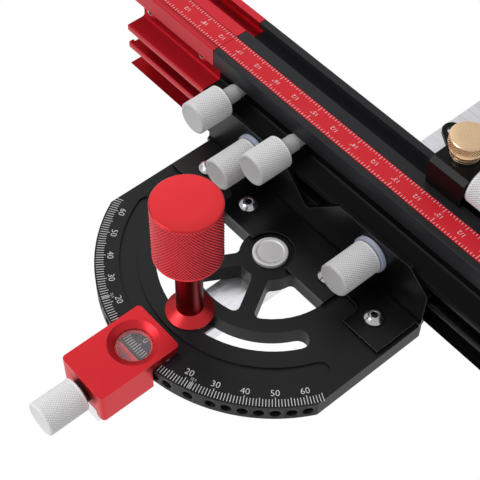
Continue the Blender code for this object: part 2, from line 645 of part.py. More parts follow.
def make_plunger(silver, steel):
    """Index plunger: a pin with a collar and cone tip, and the knurled knob that pulls it."""
    tip = -PLATE_RADIUS - PLUNGER_TIP_CLEARANCE
    knob_back = -BAR_FRONT - PLUNGER_KNOB_STANDOFF
    collar = plunger_collar_back()
    root = knob_back - PLUNGER_COUNTERBORE_DEPTH - PLUNGER_PIN_IN_KNOB + GAP
    collar_radius = PLUNGER_BORE_RADIUS - GAP
    profile = [(PLUNGER_PIN_RADIUS, root), (PLUNGER_PIN_RADIUS, collar - PLUNGER_COLLAR_THICK),
               (collar_radius, collar - PLUNGER_COLLAR_THICK), (collar_radius, collar),
               (PLUNGER_PIN_RADIUS, collar), (PLUNGER_PIN_RADIUS, tip - PLUNGER_TIP_LENGTH),
               (PLUNGER_TIP_RADIUS, tip)]
    turned("plunger_pin", profile, (0, 0, DETENT_LEVEL), "Y", steel, 24)
    front = knob_back - PLUNGER_KNOB_LENGTH
    counterbore = BUSHING_RADIUS + 2 * GAP
    bore_end = root - GAP
    profile = knob_profile(PLUNGER_KNOB_RADIUS, PLUNGER_KNOB_LENGTH, THUMB_EDGE)
    profile = [(radius, front + height) for radius, height in profile]
    profile += [(counterbore, knob_back), (counterbore, knob_back - PLUNGER_COUNTERBORE_DEPTH),
                (PLUNGER_PIN_RADIUS + GAP, knob_back - PLUNGER_COUNTERBORE_DEPTH),
                (PLUNGER_PIN_RADIUS + GAP, bore_end)]
    turned("plunger_knob", profile, (0, 0, DETENT_LEVEL), "Y", silver, 32)


def make_clamp(red, steel):
    """Tall clamp knob on a stud that stands in the bar and passes through the curved slot."""
    stud_top = PLATE_TOP + STUD_REACH_IN_KNOB
    centre = (0, -SLOT_RADIUS, 0)
    turned("clamp_stud", [(STUD_RADIUS, BAR_TOP - STUD_DEPTH_IN_BAR + GAP), (STUD_RADIUS, stud_top)],
           centre, "Z", steel, 32)
    base = PLATE_TOP + GAP
    profile = [(STUD_RADIUS + GAP, stud_top + GAP), (STUD_RADIUS + GAP, base),
               (CLAMP_FLANGE_RADIUS, base), (CLAMP_FLANGE_RADIUS, base + CLAMP_FLANGE_EDGE),
               (CLAMP_STEM_RADIUS, PLATE_TOP + CLAMP_CONE_TOP),
               (CLAMP_STEM_RADIUS, PLATE_TOP + CLAMP_BODY_BOTTOM)]
    body = knob_profile(CLAMP_BODY_RADIUS, CLAMP_TOP - CLAMP_BODY_BOTTOM, CLAMP_EDGE)
    profile += [(radius, PLATE_TOP + CLAMP_BODY_BOTTOM + height) for radius, height in body]
    turned("clamp_knob", profile, centre, "Z", red, 56)


def bracket_screw_places():
    """X positions of the four screws that hold the bracket to the plate."""
    return (-BRACKET_SCREW_OUTER, -BRACKET_SCREW_INNER, BRACKET_SCREW_INNER, BRACKET_SCREW_OUTER)


def make_bracket(black):
    """Folded sheet bracket: a base on the plate and an upright with a V notch and two slots."""
    low, back = PLATE_TOP + GAP, UPRIGHT_FACE + SHEET
    outer = BEND_RADIUS + SHEET
    section = [(BRACKET_FRONT, low)] + arc(back - outer, low + outer, outer, -math.pi / 2, 0, 6)
    section += [(back, PLATE_TOP + UPRIGHT_TOP), (UPRIGHT_FACE, PLATE_TOP + UPRIGHT_TOP)]
    section += arc(back - outer, low + outer, BEND_RADIUS, 0, -math.pi / 2, 6)
    section += [(BRACKET_FRONT, low + SHEET)]
    bracket = prism("fence_bracket", [section], -UPRIGHT_HALF_WIDTH, UPRIGHT_HALF_WIDTH, "YZ", black)
    top, margin = PLATE_TOP + UPRIGHT_TOP, CUTTER_OVERSHOOT
    for side in (-1, 1):
        end = side * UPRIGHT_HALF_WIDTH
        corner = [(end - side * UPRIGHT_CORNER_X, top), (end - side * UPRIGHT_CORNER_X, top + margin),
                  (end + side * margin, top + margin), (end + side * margin, top - UPRIGHT_CORNER_Z),
                  (end, top - UPRIGHT_CORNER_Z)]
        cut(bracket, prism("upright_corner_cutter", [corner], UPRIGHT_FACE - GAP, back + GAP, "XZ"))
        cut(bracket, box_cutter("base_side_cutter",
                                (min(side * BRACKET_HALF_WIDTH, end + side * margin),
                                 BRACKET_FRONT - margin, low - GAP),
                                (max(side * BRACKET_HALF_WIDTH, end + side * margin),
                                 back - outer, low + outer)))
        notch = rounded([(side * FRONT_NOTCH_CENTRE - FRONT_NOTCH_WIDTH / 2, BRACKET_FRONT - margin, 0),
                         (side * FRONT_NOTCH_CENTRE + FRONT_NOTCH_WIDTH / 2, BRACKET_FRONT - margin, 0),
                         (side * FRONT_NOTCH_CENTRE + FRONT_NOTCH_WIDTH / 2,
                          BRACKET_FRONT + FRONT_NOTCH_DEPTH, FRONT_NOTCH_CORNER),
                         (side * FRONT_NOTCH_CENTRE - FRONT_NOTCH_WIDTH / 2,
                          BRACKET_FRONT + FRONT_NOTCH_DEPTH, FRONT_NOTCH_CORNER)])
        cut(bracket, prism("front_notch_cutter", [notch], low - GAP, low + SHEET + GAP))
        slot_half = T_BOLT_RADIUS + GAP
        x = side * FENCE_KNOB_SPREAD / 2
        slot = arc(x, SLOT_LEVEL + LIFT_TRAVEL, slot_half, 0, math.pi, 8)
        slot += arc(x, SLOT_LEVEL, slot_half, math.pi, 2 * math.pi, 8)
        cut(bracket, prism("height_slot_cutter", [slot], UPRIGHT_FACE - GAP, back + GAP, "XZ"))
    notch = [(NOTCH_CENTRE - NOTCH_FLAT / 2, PLATE_TOP + NOTCH_BOTTOM),
             (NOTCH_CENTRE + NOTCH_FLAT / 2, PLATE_TOP + NOTCH_BOTTOM),
             (NOTCH_CENTRE + NOTCH_HALF_WIDTH, top), (NOTCH_CENTRE + NOTCH_HALF_WIDTH, top + margin),
             (NOTCH_CENTRE - NOTCH_HALF_WIDTH, top + margin), (NOTCH_CENTRE - NOTCH_HALF_WIDTH, top)]
    cut(bracket, prism("v_notch_cutter", [notch], UPRIGHT_FACE - GAP, back + GAP, "XZ"))
    cut(bracket, cylinder_cutter("cap_notch_cutter", (0, 0, low - GAP), "Z", CAP_NOTCH_RADIUS,
                                 SHEET + 2 * GAP, 40))
    for x in bracket_screw_places():
        cut(bracket, cylinder_cutter("bracket_screw_hole", (x, BRACKET_SCREW_ROW, low - GAP), "Z",
                                     BRACKET_SCREW_RADIUS + GAP, SHEET + 2 * GAP, 16))


def make_bracket_screws(steel):
    """Four button-head screws with hex sockets."""
    seat = PLATE_TOP + 2 * GAP + SHEET
    for index, x in enumerate(bracket_screw_places(), start=1):
        centre = (x, BRACKET_SCREW_ROW, seat)
        dome = [(BUTTON_HEAD_RADIUS * math.cos(a), BUTTON_HEAD_HEIGHT * math.sin(a))
                for a in (0.0, 0.35, 0.7, 1.0)]
        profile = [(BRACKET_SCREW_RADIUS, -BRACKET_SCREW_LENGTH), (BRACKET_SCREW_RADIUS, 0)] + dome
        screw = turned("bracket_screw_%d" % index, profile, centre, "Z", steel, 24)
        socket = arc(x, BRACKET_SCREW_ROW, HEX_RADIUS, 0, 2 * math.pi, 6)[:-1]
        cut(screw, prism("hex_cutter", [socket], seat + BUTTON_HEAD_HEIGHT - HEX_DEPTH,
                         seat + BUTTON_HEAD_HEIGHT + GAP))


def fence_outline(setback=FENCE_FRONT, level=FENCE_BOTTOM):
    """Section of the fence extrusion in (Y, Z), and its hollow chambers."""
    slot_low = SIDE_SLOT_CENTRE - SIDE_SLOT_WIDTH / 2
    slot_high = SIDE_SLOT_CENTRE + SIDE_SLOT_WIDTH / 2
    mouth_low = SIDE_SLOT_CENTRE - SIDE_SLOT_MOUTH / 2
    mouth_high = SIDE_SLOT_CENTRE + SIDE_SLOT_MOUTH / 2
    top, floor = FENCE_HEIGHT, FENCE_HEIGHT - TOP_SLOT_DEPTH
    groove = FENCE_HEIGHT - RULER_GROOVE_DEPTH
    mouth_front = TOP_SLOT_SETBACK - TOP_SLOT_MOUTH / 2
    mouth_back = TOP_SLOT_SETBACK + TOP_SLOT_MOUTH / 2
    inner_front = TOP_SLOT_SETBACK - TOP_SLOT_WIDTH / 2
    inner_back = TOP_SLOT_SETBACK + TOP_SLOT_WIDTH / 2
    nose = FIN / 4
    outline = rounded([
        (0, FLANGE, 0), (FLANGE_BEVEL, 0, 0), (FENCE_DEPTH, 0, 0), (FENCE_DEPTH, top, LEDGE_CHAMFER),
        (mouth_back, top, 0), (mouth_back, top - TOP_SLOT_LIP, 0), (inner_back, top - TOP_SLOT_LIP, 0),
        (inner_back, floor, 0), (inner_front, floor, 0), (inner_front, top - TOP_SLOT_LIP, 0),
        (mouth_front, top - TOP_SLOT_LIP, 0), (mouth_front, top, 0),
        (RULER_SETBACK + RULER_GROOVE_WIDTH, top, 0), (RULER_SETBACK + RULER_GROOVE_WIDTH, groove, 0),
        (RULER_SETBACK, groove, 0), (RULER_SETBACK, top, 0),
        (LEDGE_SETBACK, top, LEDGE_CHAMFER), (LEDGE_SETBACK, LEDGE_BOTTOM, 0),
        (WEB_SETBACK, LEDGE_BOTTOM, 0), (WEB_SETBACK, slot_high + FIN + WEB_FILLET, 0),
        (WEB_SETBACK - WEB_FILLET, slot_high + FIN, 0),
        (0, slot_high + FIN, nose), (0, mouth_high, nose), (LIP, mouth_high, 0), (LIP, slot_high, 0),
        (WEB_SETBACK, slot_high, 0), (WEB_SETBACK, slot_low, 0), (LIP, slot_low, 0),
        (LIP, mouth_low, 0), (0, mouth_low, nose), (0, slot_low - FIN, nose),
        (WEB_SETBACK, slot_low - FIN, 0), (WEB_SETBACK, FLANGE, 0)], 2)
    channel_low = BAR_CHANNEL_CENTRE - BAR_CHANNEL_HEIGHT / 2
    front = WEB_SETBACK + WALL
    middle = front + BAR_CHANNEL_DEPTH
    chambers = [(front, middle, channel_low, channel_low + BAR_CHANNEL_HEIGHT),
                (front, middle, WALL, channel_low - WALL),
                (middle + WALL, FENCE_DEPTH - WALL, WALL, floor - WALL)]
    loops = [outline] + [[(y0, z0), (y1, z0), (y1, z1), (y0, z1)] for y0, y1, z0, z1 in chambers]
    return [[(setback + y, level + z) for y, z in loop] for loop in loops]


def make_fence(black, ruler_red):
    """Main fence extrusion with its knob holes, and the ruler strip in its groove."""
    fence = prism("fence_rail", fence_outline(), FENCE_LEFT, FENCE_RIGHT, "YZ", black)
    for x in extension_knob_places():
        cut(fence, cylinder_cutter("knob_hole", (x, WEB_FACE - GAP, CHANNEL_LEVEL), "Y",
                                   EXTENSION_STUD_RADIUS + GAP, WALL + 2 * GAP, 20))
    make_ruler("ruler_strip", FENCE_LEFT, FENCE_RIGHT, ruler_red)


def make_ruler(name, left, right, material):
    """Thin strip that lies in the groove, its face flush with the fence top."""
    front = FENCE_FRONT + RULER_SETBACK + GAP
    back = FENCE_FRONT + RULER_SETBACK + RULER_GROOVE_WIDTH - GAP
    low = FENCE_TOP - RULER_GROOVE_DEPTH + GAP
    outline = [(front, low), (back, low), (back, FENCE_TOP), (front, FENCE_TOP)]
    prism(name, [outline], left, right, "YZ", material)


def extension_knob_places():
    """X positions of the two knobs that lock the slide bar."""
    return (EXTENSION_KNOB_LEFT, EXTENSION_KNOB_LEFT + EXTENSION_KNOB_PITCH)


def extension_screw_places():
    """X positions of the two screws that hold the extension to its slide bar."""
    first = EXTENSION_RIGHT - EXTENSION_SCREW_FIRST
    return (first - EXTENSION_SCREW_PITCH, first)


def make_extension(red, ruler_red, silver, steel):
    """Fence extension: full section near the joint, top rail only beyond it, on a slide bar."""
    rail = prism("extension_rail", fence_outline(), EXTENSION_LEFT, EXTENSION_RIGHT, "YZ", red)
    fins_end = EXTENSION_RIGHT - EXTENSION_FINS_LENGTH
    cut(rail, box_cutter("fins_cutter",
                         (EXTENSION_LEFT - LIP, FENCE_FRONT - LIP, FENCE_BOTTOM - LIP),
                         (fins_end, FENCE_FRONT + FENCE_DEPTH + LIP, FENCE_BOTTOM + LEDGE_BOTTOM)))
    for x in extension_screw_places():
        cut(rail, cylinder_cutter("extension_screw_hole", (x, WEB_FACE - GAP, CHANNEL_LEVEL), "Y",
                                  EXTENSION_SCREW_RADIUS + GAP, WALL + 2 * GAP, 16))
    make_ruler("extension_ruler", EXTENSION_LEFT, EXTENSION_RIGHT, ruler_red)
    bar_left = fins_end + SLIDE_BAR_INSET
    low = CHANNEL_LEVEL - SLIDE_BAR_HEIGHT / 2
    front = CHANNEL_FRONT + GAP
    outline = [(front, low), (front + SLIDE_BAR_DEPTH, low),
               (front + SLIDE_BAR_DEPTH, low + SLIDE_BAR_HEIGHT), (front, low + SLIDE_BAR_HEIGHT)]
    bar = prism("slide_bar", [outline], bar_left, bar_left + SLIDE_BAR_LENGTH, "YZ", silver)
    for x, label in zip(extension_screw_places(), ("left", "right")):
        cut(bar, cylinder_cutter("slide_bar_hole", (x, front - GAP, CHANNEL_LEVEL), "Y",
                                 EXTENSION_SCREW_RADIUS + GAP, EXTENSION_SCREW_DEPTH_IN_BAR + 2 * GAP, 16))
        seat = WEB_FACE - GAP
        dome = [(EXTENSION_SCREW_HEAD_RADIUS * math.cos(a), -EXTENSION_SCREW_HEAD_HEIGHT * math.sin(a))
                for a in (1.0, 0.6, 0.3, 0.0)]
        profile = dome + [(EXTENSION_SCREW_RADIUS, 0),
                          (EXTENSION_SCREW_RADIUS, GAP + WALL + GAP + EXTENSION_SCREW_DEPTH_IN_BAR)]
        turned("extension_screw_" + label, profile, (x, seat, CHANNEL_LEVEL), "Y", steel, 20)


def make_fence_clamps(silver, washer, steel):
    """T-bolts in the side slot, with washers and knurled knobs in front of the upright."""
    head_front = FENCE_FRONT + LIP + GAP
    for side, label in ((-1, "left"), (1, "right")):
        x = side * FENCE_KNOB_SPREAD / 2
        centre = (x, 0, SLOT_LEVEL)
        shank_end = FENCE_KNOB_BACK - FENCE_KNOB_BORE_DEPTH + GAP
        head = T_BOLT_HEAD_WIDTH / 2
        bolt = bmesh.new()
        square = [(-head, -head), (head, -head), (head, head), (-head, head)]
        circle = arc(0, 0, T_BOLT_RADIUS, math.pi / 4 - math.pi, math.pi / 4 + math.pi, 24)[:-1]
        back = [bolt.verts.new((x + u, head_front + T_BOLT_HEAD_THICK, SLOT_LEVEL + v)) for u, v in square]
        front = [bolt.verts.new((x + u, head_front, SLOT_LEVEL + v)) for u, v in square]
        neck = [bolt.verts.new((x + u, head_front, SLOT_LEVEL + v)) for u, v in circle]
        tail = [bolt.verts.new((x + u, shank_end, SLOT_LEVEL + v)) for u, v in circle]
        bolt.faces.new(back)
        bolt.faces.new(tail)
        for i in range(4):
            bolt.faces.new((back[i - 1], back[i], front[i], front[i - 1]))
        ring = [bolt.edges.get((front[i - 1], front[i])) for i in range(4)]
        ring += [bolt.edges.new((neck[i - 1], neck[i])) for i in range(24)]
        bmesh.ops.triangle_fill(bolt, edges=ring, use_beauty=True)
        for i in range(24):
            bolt.faces.new((neck[i - 1], neck[i], tail[i], tail[i - 1]))
        finish("t_bolt_" + label, bolt, (x, head_front, SLOT_LEVEL), steel)
        hole = T_BOLT_RADIUS + GAP
        profile = [(hole, WASHER_BACK - WASHER_THICK), (WASHER_RADIUS, WASHER_BACK - WASHER_THICK),
                   (WASHER_RADIUS, WASHER_BACK), (hole, WASHER_BACK)]
        turned("fence_washer_" + label, profile, centre, "Y", washer, 32, closed=True)
        front_face = FENCE_KNOB_BACK - FENCE_KNOB_LENGTH
        profile = knob_profile(THUMB_RADIUS, FENCE_KNOB_LENGTH, THUMB_EDGE)
        profile = [(radius, front_face + height) for radius, height in profile]
        profile += [(hole, FENCE_KNOB_BACK), (hole, FENCE_KNOB_BACK - FENCE_KNOB_BORE_DEPTH)]
        turned("fence_knob_" + label, profile, centre, "Y", silver, 32)


def make_extension_knobs(silver):
    """Knurled thumb screws whose tips press on the slide bar."""
    for x, label in zip(extension_knob_places(), ("left", "right")):
        front_face = EXTENSION_KNOB_BACK - EXTENSION_KNOB_LENGTH
        profile = knob_profile(THUMB_RADIUS, EXTENSION_KNOB_LENGTH, THUMB_EDGE)
        profile = [(radius, front_face + height) for radius, height in profile]
        profile += [(EXTENSION_COLLAR_RADIUS, EXTENSION_KNOB_BACK),
                    (EXTENSION_COLLAR_RADIUS, WEB_FACE - GAP),
                    (EXTENSION_STUD_RADIUS, WEB_FACE - GAP),
                    (EXTENSION_STUD_RADIUS, CHANNEL_FRONT)]
        turned("extension_knob_" + label, profile, (x, 0, CHANNEL_LEVEL), "Y", silver, 32)


def stop_section():
    """Section of the stop's two blocks in (Y, Z), with a sloped front shoulder."""
    return [(STOP_FRONT, STOP_BOTTOM), (STOP_BACK, STOP_BOTTOM), (STOP_BACK, STOP_TOP),
            (STOP_FRONT + STOP_CHAMFER_Y, STOP_TOP), (STOP_FRONT, STOP_TOP - STOP_CHAMFER_Z)]


def make_stop(black, brass, silver, steel):
    """Flip stop: locked block, micro-adjust wheel and screw, carriage and the arm that swings up."""
    block = prism("stop_block", [stop_section()], STOP_LEFT, STOP_RIGHT, "YZ", black)
    lock_y = FENCE_FRONT + LOCK_KNOB_SETBACK
    lock_x = (STOP_LEFT + STOP_RIGHT) / 2 - LOCK_KNOB_OFFSET
    cut(block, cylinder_cutter("lock_hole", (lock_x, lock_y, STOP_BOTTOM - GAP), "Z",
                               LOCK_STUD_RADIUS + GAP, STOP_HEIGHT + 2 * GAP, 20))
    cut(block, cylinder_cutter("block_screw_bore", (STOP_RIGHT - WHEEL_SCREW_ENGAGED - GAP, WHEEL_Y,
                                                    WHEEL_LEVEL), "X", WHEEL_SCREW_RADIUS + GAP,
                               WHEEL_SCREW_ENGAGED + 2 * GAP, 20))
    washer_low = STOP_TOP + GAP
    hole = LOCK_STUD_RADIUS + GAP
    profile = [(hole, washer_low), (LOCK_WASHER_RADIUS, washer_low),
               (LOCK_WASHER_RADIUS, washer_low + LOCK_WASHER_THICK), (hole, washer_low + LOCK_WASHER_THICK)]
    turned("stop_washer", profile, (lock_x, lock_y, 0), "Z", silver, 36, closed=True)
    base = washer_low + LOCK_WASHER_THICK + GAP
    top = base + LOCK_KNOB_HEIGHT
    waist = base + LOCK_KNOB_HEIGHT - LOCK_KNOB_BAND
    profile = [(LOCK_STUD_RADIUS, FENCE_TOP + GAP), (LOCK_STUD_RADIUS, base),
               (LOCK_KNOB_FOOT_RADIUS, base), (LOCK_KNOB_WAIST_RADIUS, base + LOCK_KNOB_WAIST_HEIGHT),
               (LOCK_KNOB_RADIUS, waist),
               (LOCK_KNOB_RADIUS, top - THUMB_EDGE), (LOCK_KNOB_RADIUS - THUMB_EDGE, top)]
    turned("stop_lock_knob", profile, (lock_x, lock_y, 0), "Z", brass, 36)
    add_stop_eye(block)
    make_stop_slider("stop_slider", STOP_LEFT, STOP_RIGHT, steel)
    make_wheel(silver)
    make_carriage(black, steel)


def add_stop_eye(block):
    """Flat eye that stands out behind the left end of the stop block, in one piece with it."""
    high = STOP_TOP - EYE_BELOW_TOP
    x, y = STOP_LEFT - EYE_REACH_X, STOP_BACK + EYE_REACH_Y
    root_x = STOP_LEFT + EYE_ROOT
    outline = arc(x, y, EYE_RADIUS, 0.35 * math.pi, 1.35 * math.pi, 16)
    outline += [(root_x, STOP_BACK - EYE_RADIUS * 2), (root_x, STOP_BACK - EYE_ROOT)]
    cut(block, prism("stop_eye", [outline], high - EYE_THICK, high), "UNION")
    cut(block, cylinder_cutter("eye_hole", (x, y, high - EYE_THICK - GAP), "Z", EYE_HOLE_RADIUS,
                               EYE_THICK + 2 * GAP, 20))


def make_stop_slider(name, left, right, steel):
    """Flat nut in the top slot below a block, with a neck up through the mouth."""
    half = TOP_SLOT_WIDTH / 2 - 2 * GAP
    neck = TOP_SLOT_MOUTH / 2 - 2 * GAP
    low = TOP_SLOT_FLOOR + GAP
    shoulder = low + STOP_SLIDER_THICK
    outline = [(-half, low), (half, low), (half, shoulder), (neck, shoulder), (neck, FENCE_TOP),
               (-neck, FENCE_TOP), (-neck, shoulder), (-half, shoulder)]
    outline = [(TOP_SLOT_Y + y, z) for y, z in outline]
    prism(name, [outline], left + STOP_SLIDER_OVERHANG, right - STOP_SLIDER_OVERHANG, "YZ", steel)


def make_wheel(silver):
    """Knurled wheel with its adjusting screw reaching into both blocks."""
    start = WHEEL_LEFT
    profile = [(WHEEL_SCREW_RADIUS, start - WHEEL_SCREW_ENGAGED), (WHEEL_SCREW_RADIUS, start)]
    body = knob_profile(WHEEL_RADIUS, WHEEL_LENGTH, THUMB_EDGE)
    profile += [(radius, start + height) for radius, height in body]
    end = start + WHEEL_LENGTH
    profile += [(WHEEL_SCREW_RADIUS, end), (WHEEL_SCREW_RADIUS, CARRIAGE_LEFT + WHEEL_SCREW_ENGAGED)]
    turned("micro_adjust_wheel", profile, (0, WHEEL_Y, WHEEL_LEVEL), "X", silver, 36)


def make_carriage(black, steel):
    """Second block, its nut in the slot, the arm's pin and the arm that hangs over the work face."""
    carriage = prism("stop_carriage", [stop_section()], CARRIAGE_LEFT, CARRIAGE_RIGHT, "YZ", black)
    pin_y = FENCE_FRONT + FENCE_DEPTH + ARM_STANDOFF + ARM_WIDTH / 2
    pin_z = FENCE_TOP + ARM_PIN_ABOVE_FENCE
    boss_left = CARRIAGE_RIGHT - ARM_BOSS_LENGTH
    boss = arc(pin_y, pin_z, ARM_BOSS_RADIUS, -math.pi / 2, math.pi / 2, 12)
    boss += [(STOP_BACK - ARM_PIN_RADIUS, pin_z + ARM_BOSS_RADIUS),
             (STOP_BACK - ARM_PIN_RADIUS, pin_z - ARM_BOSS_RADIUS)]
    cut(carriage, prism("arm_boss", [boss], boss_left, CARRIAGE_RIGHT, "YZ"), "UNION")
    cut(carriage, cylinder_cutter("carriage_bore", (CARRIAGE_LEFT - GAP, WHEEL_Y, WHEEL_LEVEL), "X",
                                  WHEEL_SCREW_RADIUS + GAP, WHEEL_SCREW_ENGAGED + 2 * WHEEL_CLEARANCE, 20))
    make_stop_slider("carriage_slider", CARRIAGE_LEFT, CARRIAGE_RIGHT, steel)
    pin_in = boss_left + 2 * ARM_PIN_RADIUS
    cut(carriage, cylinder_cutter("arm_pin_bore", (pin_in - GAP, pin_y, pin_z), "X",
                                  ARM_PIN_RADIUS + GAP, CARRIAGE_RIGHT - pin_in + 2 * GAP, 20))
    arm_left = CARRIAGE_RIGHT + GAP
    arm_right = arm_left + ARM_THICK
    ear = ARM_WIDTH / 2
    profile = [(ARM_PIN_RADIUS, pin_in), (ARM_PIN_RADIUS, arm_right + GAP),
               (ARM_PIN_HEAD_RADIUS, arm_right + GAP), (ARM_PIN_HEAD_RADIUS, arm_right + ARM_PIN_HEAD_THICK)]
    turned("arm_pin", profile, (0, pin_y, pin_z), "X", steel, 24)
    tip = FENCE_BOTTOM + ARM_TIP_ABOVE_FENCE_BOTTOM
    outline = arc(pin_y, pin_z, ear, 0, math.pi, 12) + [(pin_y - ear, tip), (pin_y + ear, tip)]
    hole = arc(pin_y, pin_z, ARM_PIN_RADIUS + GAP, 0, 2 * math.pi, 20)[:-1]
    prism("stop_arm", [outline, hole], arm_left, arm_right, "YZ", black, (0, pin_y, pin_z))


def main():
    """Build every piece of the gauge."""
    clear_scene()
    steel = paint("bright_steel", (0.62, 0.62, 0.64), 1.0, 0.30)
    silver = paint("silver_aluminium", (0.70, 0.70, 0.70), 1.0, 0.38)
    black = paint("black_anodised", (0.022, 0.022, 0.024), 0.4, 0.42)
    red = paint("red_anodised", (0.68, 0.030, 0.045), 0.6, 0.35)
    ruler_red = paint("ruler_red", (0.66, 0.035, 0.055), 0.3, 0.45)
    brass = paint("brass", (0.72, 0.48, 0.20), 1.0, 0.30)
    washer = paint("pale_washer", (0.52, 0.56, 0.66), 0.2, 0.45)
    glass = paint("clear_lens", (0.95, 0.95, 0.95), 0.0, 0.05, 0.3)
    make_bar(steel)
    make_pivot(silver)
    make_plate(black)
    make_block(red)
    make_block_fittings(glass, black, steel)
    make_plunger(silver, steel)
    make_clamp(red, steel)
    make_bracket(black)
    make_bracket_screws(steel)
    make_fence(black, ruler_red)
    make_extension(red, ruler_red, silver, steel)
    make_fence_clamps(silver, washer, steel)
    make_extension_knobs(silver)
    make_stop(black, brass, silver, steel)


main()
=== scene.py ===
"""Looks of the miter gauge: finishes, knurling, printed scales, screws, light and camera."""
import math

import bmesh
import bpy
import numpy as np
from mathutils import Matrix, Vector


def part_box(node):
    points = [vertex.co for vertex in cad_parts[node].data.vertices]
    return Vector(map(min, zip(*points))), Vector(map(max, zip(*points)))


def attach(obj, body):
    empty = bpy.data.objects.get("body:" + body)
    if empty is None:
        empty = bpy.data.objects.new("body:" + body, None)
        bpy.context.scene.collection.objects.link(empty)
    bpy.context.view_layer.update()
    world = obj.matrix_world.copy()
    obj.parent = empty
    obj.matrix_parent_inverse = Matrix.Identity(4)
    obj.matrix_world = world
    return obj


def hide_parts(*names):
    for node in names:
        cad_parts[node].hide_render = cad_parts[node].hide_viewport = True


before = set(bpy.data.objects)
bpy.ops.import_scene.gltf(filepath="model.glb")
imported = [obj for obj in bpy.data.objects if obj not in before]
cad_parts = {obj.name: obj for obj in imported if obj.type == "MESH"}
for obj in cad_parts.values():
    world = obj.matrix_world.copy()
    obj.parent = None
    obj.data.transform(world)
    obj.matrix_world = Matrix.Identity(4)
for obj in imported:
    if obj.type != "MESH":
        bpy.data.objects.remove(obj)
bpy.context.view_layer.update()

# Camera, worked out from the photograph: centre of projection, view angles and optical centre
CAMERA_PLACE = (0.2428, -0.2357, 0.4718)
CAMERA_AZIMUTH = 0.8791
CAMERA_ELEVATION = 0.9379
CAMERA_ROLL = -0.0089
FOCAL_PX = 1234.70
CENTRE_PX = (212.03, 263.73)
PICTURE_PX = 480
SENSOR_MM = 36.0

# Light: strength of the even world, and each lamp's name, place, aim, size and watts
WORLD_LIGHT = 0.60
LAMPS = (("key_lamp", (-0.55, -1.10, 1.25), (0.0, 0.0, 0.03), 0.7, 10.0),
         ("back_lamp", (-1.10, 0.60, 1.25), (0.0, 0.0, 0.03), 0.9, 2.5))
FLOOR_HALF = 6.0
FLOOR_LEVEL = -0.0002
FLOOR_GREY = 0.50

# Sizes shared with the CAD model, metres
PLATE_TOP = 0.0188
PLATE_RADIUS = 0.0805
FENCE_FRONT = 0.0262
FENCE_TOP = 0.0682
FENCE_ENDS = (-0.0786, 0.3614)
EXTENSION_ENDS = (-0.1999, -0.0789)
RULER_SETBACK = 0.0097
RULER_GROOVE_WIDTH = 0.0110
RULER_MIDDLE = FENCE_FRONT + RULER_SETBACK + RULER_GROOVE_WIDTH / 2
WEB_HOLE = 0.0366

# The fence's recess, where darker copies of its finishes paint shade: its depth, its roof, the fin's nose and
# the fin's top
RECESS_BACK = FENCE_FRONT + 0.0200
RECESS_ROOF = FENCE_TOP - 0.0095
FIN_NOSE = FENCE_FRONT + 0.0015
FIN_TOP = PLATE_TOP + 0.0270

# Finishes: features a metre of the clouds and grains, and depths of the relief in metres
CLOUDS = 55.0
BLASTED_GRAIN, BLASTED_DEPTH = 5200.0, 0.000006
LATHE_GRAIN, LATHE_PITCH, LATHE_DEPTH = 4000.0, 0.0012, 0.000004
BRUSHED_DEPTH = 0.000005
# Height over which the red knob's painted stem shade fades in
STEM_FADE = 0.0004
# Silver knobs: end faces painted darker and knurled sides lighter, shaded and lit copies of one aluminium
KNOB_FACE_SHADED = (0.64, 0.64, 0.65)
KNOB_SIDE_LIT = (0.95, 0.95, 0.96)

# Knurls: pitch round the band, pitch along it, depth of the grooves
CLAMP_KNURL = (0.00144, 0.00188, 0.00036)
THUMB_KNURL = (0.00122, 0.00155, 0.00024)
BRASS_KNURL = (0.00105, 0.00130, 0.00030)
WHEEL_KNURL = (0.00130, 0.00160, 0.00034)
KNURL_SAMPLES = 6
GROOVE_SHARPNESS = 1.5
SECOND_GROOVE = 0.6

# Meshes: when points merge, when faces count as flat, when an edge is shaded sharp or broken (degrees),
# and the steps of a rounded corner
MERGE_NEW, MERGE_CAD = 0.0000001, 0.000012
FLAT_ANGLE = 0.6
SHARP_ANGLE, SHARP_KNURL_ANGLE, SHARP_CAD_ANGLE = 35, 18, 32
CURVE_STEPS = 3

# Thumb knobs: chamfer, plain ring beside the knurl, the end face's rim and the slope inside it
KNOB_CHAMFER = 0.0005
KNOB_RING = 0.0007
KNOB_RIM = 0.0017
KNOB_SLOPE = 0.0005
KNOB_DISH = 0.00020
KNOB_BORES = {"fence_knob_left": (0.0033, 0.0139), "fence_knob_right": (0.0033, 0.0139),
              "plunger_knob": (0.0061, 0.0034)}
EXTENSION_KNOB_LENGTH = 0.0180
NECK_RADIUS, NECK_END = 0.0041, 0.0318
SPIGOT_RADIUS, SPIGOT_START = 0.0036, 0.0322
STUD_RADIUS = 0.0025

# Button-head screws: the head's cone as (share of its radius, share of its dome), crown and socket
HEAD_CONE = ((0.97, 0.0), (1.0, 0.04), (1.0, 0.16), (0.96, 0.26), (0.80, 0.54), (0.66, 0.78), (0.60, 0.86),
             (0.54, 0.90))
CROWN_SHARE = 0.9
SOCKET_SHARE = 0.7
HEXAGON = 6

